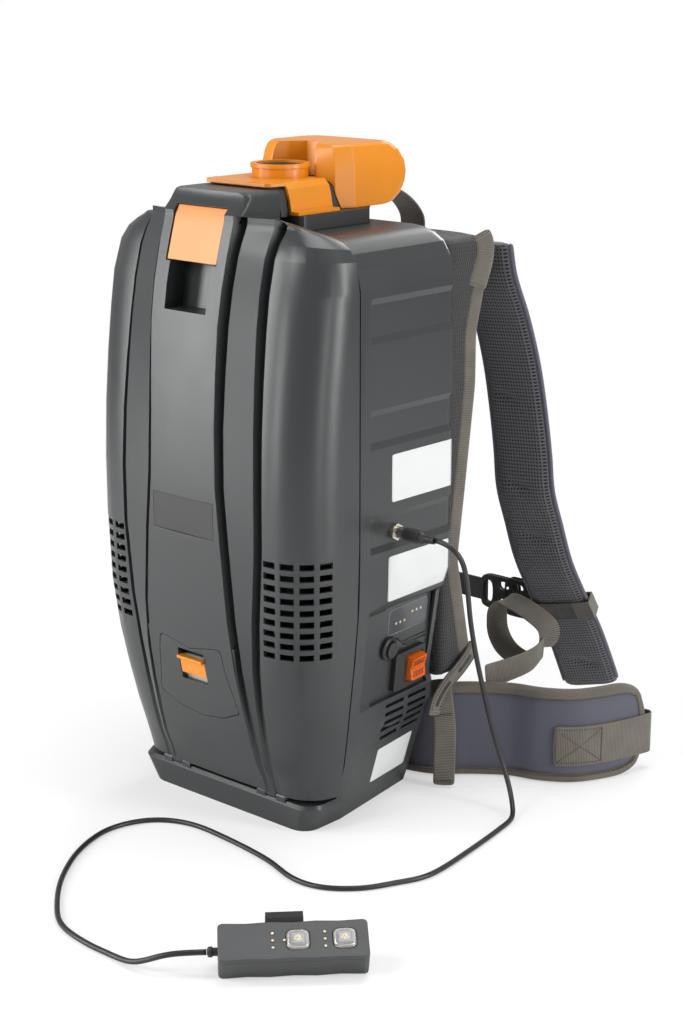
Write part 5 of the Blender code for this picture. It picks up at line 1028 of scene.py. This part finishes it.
def remote_details():
    """Lamps, key rings and key cores of the hand control."""
    top = REMOTE_HEIGHT + 0.05 * MM
    middle = REMOTE_WIDTH / 2
    for number, (share, shift) in enumerate(REMOTE_LAMPS, 1):
        centre = (share * REMOTE_LENGTH, middle + shift * MM)
        ring = []
        for k in range(14):
            turn = 2 * math.pi * k / 14
            u = centre[0] + LAMP_RING * math.cos(turn)
            v = centre[1] + LAMP_RING * math.sin(turn)
            ring.append(REMOTE_FRAME @ Vector((u, v, top)))
        tube(f"lamp_ring_{number}", ring, 0.35 * MM, REMOTE, BACK, 6, closed=True)
        dome(f"lamp_{number}", REMOTE_FRAME, (*centre, top), 1.4 * MM, 0.8 * MM, LAMP, BACK)
    for number, share in enumerate(KEY_SHARES, 1):
        centre = (share * REMOTE_LENGTH, middle)
        body = f"key_{number}"
        for size, level, thick, kind in ((16.5, 1.5, 0.45, NICKEL), (11.5, 2.7, 0.4, CLEAR)):
            outline = rounded_box(size * MM, size * MM, 4.6 * MM * size / 16.5, 3, centre)
            ring = [REMOTE_FRAME @ Vector((u, v, REMOTE_HEIGHT + level * MM)) for u, v in outline]
            tube(f"key_{number}_rim_{int(size)}", ring, thick * MM, kind, body, 6, closed=True)
        for k, (u, v, radius) in enumerate(KEY_CORE):
            spot = (centre[0] + u * MM, centre[1] + v * MM, REMOTE_HEIGHT + 2.6 * MM)
            core = f"key_{number}_core_{k}"
            dome(core, REMOTE_FRAME, spot, radius * MM, 0.7 * MM, LAMP, body, 8)


def switch_details():
    """Raised rim and ribs on the rocker, the ribs darker amber as painted shade, and the lamp frame round the
    display, its rim pale grey as a painted highlight.
    """
    wide, high = ROCKER_WIDTH / 2 - 1.5 * MM, ROCKER_HEIGHT / 2 - 3 * MM

    def face_point(u, v):
        level = ROCKER_TOP - 2 * MM * (1 - min(abs(v) / high, 1)) + 0.1 * MM
        return PANEL_FRAME @ Vector((ROCKER_SHIFT + u, v, level))

    for end, tilt in (("low", -1), ("high", 1)):
        centre = (0, tilt * (high / 2 + 0.5 * MM))
        line = rounded_box(2 * wide, high - 0.5 * MM, 1.6 * MM, 3, centre)
        outline = [face_point(u, v) for u, v in line]
        tube("rocker_rim_" + end, outline, 0.75 * MM, AMBER, "rocker", 6, closed=True)
        for k in range(-3, 4):
            line = [face_point(k * 2.6 * MM, tilt * share * high) for share in (0.28, 0.82)]
            rib = f"rocker_rib_{end}_{k + 4}"
            # rib in darker amber: painted shade
            tube(rib, line, 0.5 * MM, AMBER_RIB_SHADE, "rocker", 6)
    # pale ring round the display's edge: painted highlight
    outline = []
    for u, v in rounded_box(64.4 * MM, 26.4 * MM, 4 * MM, 4, WINDOW_SPOT):
        outline.append(PANEL_FRAME @ Vector((u, v, WINDOW_TOP + 0.05 * MM)))
    tube("window_rim_highlight", outline, 0.5 * MM, WINDOW_RIM_HIGHLIGHT, BACK, 6, closed=True)
    for number, (u, v) in enumerate(WINDOW_LAMPS, 1):
        spot = (u * MM, v * MM, WINDOW_TOP + 0.02 * MM)
        light = f"window_lamp_{number}"
        dome(light, PANEL_FRAME, spot, 1.5 * MM, 0.35 * MM, LAMP, BACK, 12)


def plate(name, outlines, frame, thick, finish, body, corner=1 * MM):
    """A flat moulding with holes, its edges rounded; outlines are closed (u, v) lines, the outer one first."""
    data = bpy.data.curves.new(name, "CURVE")
    data.dimensions = "2D"
    data.fill_mode = "BOTH"
    data.extrude = thick / 2 - corner
    data.bevel_depth = corner
    data.bevel_resolution = 3
    data.offset = -corner
    for outline in outlines:
        line = data.splines.new("POLY")
        line.points.add(len(outline) - 1)
        for spot, (u, v) in zip(line.points, outline):
            spot.co = (u, v, 0, 1)
        line.use_cyclic_u = True
    holder = bpy.data.objects.new(name, data)
    bpy.context.scene.collection.objects.link(holder)
    bpy.context.view_layer.update()
    bm = bmesh.new()
    bm.from_mesh(bpy.data.meshes.new_from_object(holder))
    bpy.data.objects.remove(holder)
    bmesh.ops.remove_doubles(bm, verts=bm.verts, dist=0.01 * MM)
    bmesh.ops.triangulate(bm, faces=bm.faces)
    bmesh.ops.transform(bm, matrix=frame, verts=bm.verts)
    piece = add_mesh(name, bm, finish, body, smooth=False)
    soften(piece.data, math.radians(40))
    return piece


def oval(width, height, centre, steps=24, power=2.6):
    points = []
    for k in range(steps):
        turn = 2 * math.pi * k / steps
        c, s = math.cos(turn), math.sin(turn)
        points.append((
            centre[0] + width / 2 * math.copysign(abs(c) ** (2 / power), c),
            centre[1] + height / 2 * math.copysign(abs(s) ** (2 / power), s),
        ))
    return points


def chest_buckle():
    """Side-release buckle: a socket with oval windows, and a pronged plug that slides between its plates."""
    for part, gap, thick, holes, body, node in (
        ("buckle_socket", 3.1, 1.3, SOCKET_HOLES, BACK, "chest_buckle_socket"),
        ("buckle_plug", 1.2, 1.8, PLUG_HOLES, "chest_plug", "chest_buckle_plug"),
    ):
        low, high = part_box(node)
        middle, size = (low + high) / 2, high - low
        outlines = [oval(size.x - 0.6 * MM, size.z - 0.6 * MM, (0, 0), 48, 5)]
        outlines += [oval(w * MM, h * MM, (u * MM, v * MM)) for w, h, u, v in holes]
        for face, way in (("front", -1), ("back", 1)):
            level = middle.y + way * (gap + thick / 2) * MM
            frame = Matrix(((1, 0, 0, middle.x), (0, 0, 1, level), (0, 1, 0, middle.z), (0, 0, 0, 1)))
            label = f"{part}_{face}"
            piece = plate(label, outlines, frame, thick * MM, BUCKLE, body, 0.5 * MM)
            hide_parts(node)


def panel_cover():
    """Thin plate that carries the side panel's face on round the display and down to the switch."""
    outline = [(u * MM, v * MM) for u, v in PANEL_OUTLINE]
    opening = rounded_box(64.6 * MM, 26.6 * MM, 4 * MM, 4, WINDOW_SPOT)
    frame = PANEL_FRAME @ Matrix.Translation((0, 0, -1.9 * MM))
    lines, slot = [outline, opening], "charcoal_plastic"
    plate("panel_cover", lines, frame, 1.6 * MM, CHARCOAL, BACK, 0.2 * MM)
    for k in range(2):
        v = (25.5 + 4 * k) * MM
        line = [PANEL_FRAME @ Vector((u * MM, v, -0.9 * MM)) for u in (-8 + k, 12, 30 - 2 * k)]
        tube(f"panel_rib_{k + 1}", line, 0.8 * MM, BLACK, BACK, 8)


def plug_details():
    """Grip ribs round the cord's plug."""
    for k in range(7):
        x = SOCKET_X - (34 - k * 2.6) * MM
        ring = []
        for i in range(20):
            turn = 2 * math.pi * i / 20
            y = SOCKET_Y + PLUG_RADIUS * math.cos(turn)
            z = SOCKET_Z + PLUG_RADIUS * math.sin(turn)
            ring.append(Vector((x, y, z)))
        tube(f"plug_rib_{k + 1}", ring, 0.55 * MM, BLACK, BACK, 6, closed=True)


# ---- studio ----------------------------------------------------------------------------------------------
def camera():
    data = bpy.data.cameras.new("camera")
    data.sensor_width = 36
    data.lens = 71.44
    holder = bpy.data.objects.new("camera", data)
    holder.location = (1.3464, -1.4104, 0.820)
    holder.rotation_euler = (math.radians(74.7), 0, math.radians(41.9))
    bpy.context.scene.collection.objects.link(holder)
    bpy.context.scene.camera = holder


def lamp(name, place, target, size, watts):
    data = bpy.data.lights.new(name, "AREA")
    data.shape = "RECTANGLE"
    data.size, data.size_y = size
    data.energy = watts
    holder = bpy.data.objects.new(name, data)
    holder.location = place
    holder.rotation_euler = (Vector(place) - Vector(target)).to_track_quat("Z", "Y").to_euler()
    bpy.context.scene.collection.objects.link(holder)


def floor():
    """Pale floor that keeps the shadow near the object and fades to white further out."""
    bm = bmesh.new()
    bmesh.ops.create_grid(bm, x_segments=1, y_segments=1, size=30)
    data = bpy.data.meshes.new("floor")
    bm.to_mesh(data)
    bm.free()
    ground = bpy.data.objects.new("floor", data)
    bpy.context.scene.collection.objects.link(ground)
    paint = Paint("floor")
    paint.put(base_color=(0.9, 0.9, 0.9, 1), roughness=0.9)
    white = paint.node("Emission", None, {"Color": (1, 1, 1, 1), "Strength": 1.0})
    seen = paint.node("LightPath", output="Is Camera Ray")
    far = paint.node("VectorMath", {"operation": "LENGTH"}, {0: paint.at()}, 1).step(0.55, 1.3)
    share = seen * (0.45 + far * 0.55)
    body = Wire(paint, paint.shader.outputs[0])
    blend = paint.node("MixShader", None, {0: share, 1: body, 2: white})
    out = paint.tree.nodes["Material Output"]
    paint.tree.links.new(blend.socket, out.inputs["Surface"])
    data.materials.append(paint.material)


def studio():
    scene = bpy.context.scene
    scene.view_settings.view_transform = "Standard"
    world = bpy.data.worlds.new("studio")
    scene.world = world
    world.use_nodes = True
    tree = world.node_tree
    path = tree.nodes.new("ShaderNodeLightPath")
    seen = tree.nodes.new("ShaderNodeMath")
    seen.operation = "MAXIMUM"
    tree.links.new(path.outputs["Is Camera Ray"], seen.inputs[0])
    tree.links.new(path.outputs["Is Transmission Ray"], seen.inputs[1])
    share = tree.nodes.new("ShaderNodeMath")
    share.operation = "MAXIMUM"
    mirrored = tree.nodes.new("ShaderNodeMath")
    mirrored.operation = "MULTIPLY"
    mirrored.inputs[1].default_value = WORLD_MIRRORED
    tree.links.new(path.outputs["Is Glossy Ray"], mirrored.inputs[0])
    tree.links.new(seen.outputs[0], share.inputs[0])
    tree.links.new(mirrored.outputs[0], share.inputs[1])
    level = tree.nodes.new("ShaderNodeMapRange")
    level.inputs["To Min"].default_value = WORLD_FILL
    level.inputs["To Max"].default_value = 1.0
    tree.links.new(share.outputs[0], level.inputs[0])
    tree.links.new(level.outputs[0], tree.nodes["Background"].inputs["Strength"])
    tree.nodes["Background"].inputs["Color"].default_value = (1, 1, 1, 1)
    middle = (0, 0, 0.3)
    lamp("front", (-1.5, -1.7, 0.8), middle, (0.45, 1.9), 34)
    lamp("key", (-0.5, -2.2, 1.9), middle, (1.0, 0.9), 30)
    lamp("side", (2.2, 0.6, 0.9), middle, (0.5, 1.8), 36)
    lamp("rim", (-0.6, 2.2, 1.3), middle, (0.6, 1.4), 18)
    lamp("top", (0.2, 0.4, 2.4), middle, (1.4, 1.4), 28)
    lamp("low_front", (-0.55, -2.1, 0.42), (0, 0, 0.25), (0.35, 0.8), 9)
    lamp("low_side", (2.1, -0.5, 0.42), (0, 0, 0.25), (0.12, 0.8), 5)


camera()
dress_nodes()
control_cord()
back_pad()
for side, name in ((-1, "left"), (1, "right")):
    shoulder_strap(side, name)
    hip_belt(side, name)
    hip_webbing(side, name)
webbings()
stickers()
remote_details()
switch_details()
plug_details()
chest_buckle()
panel_cover()
floor()
studio()
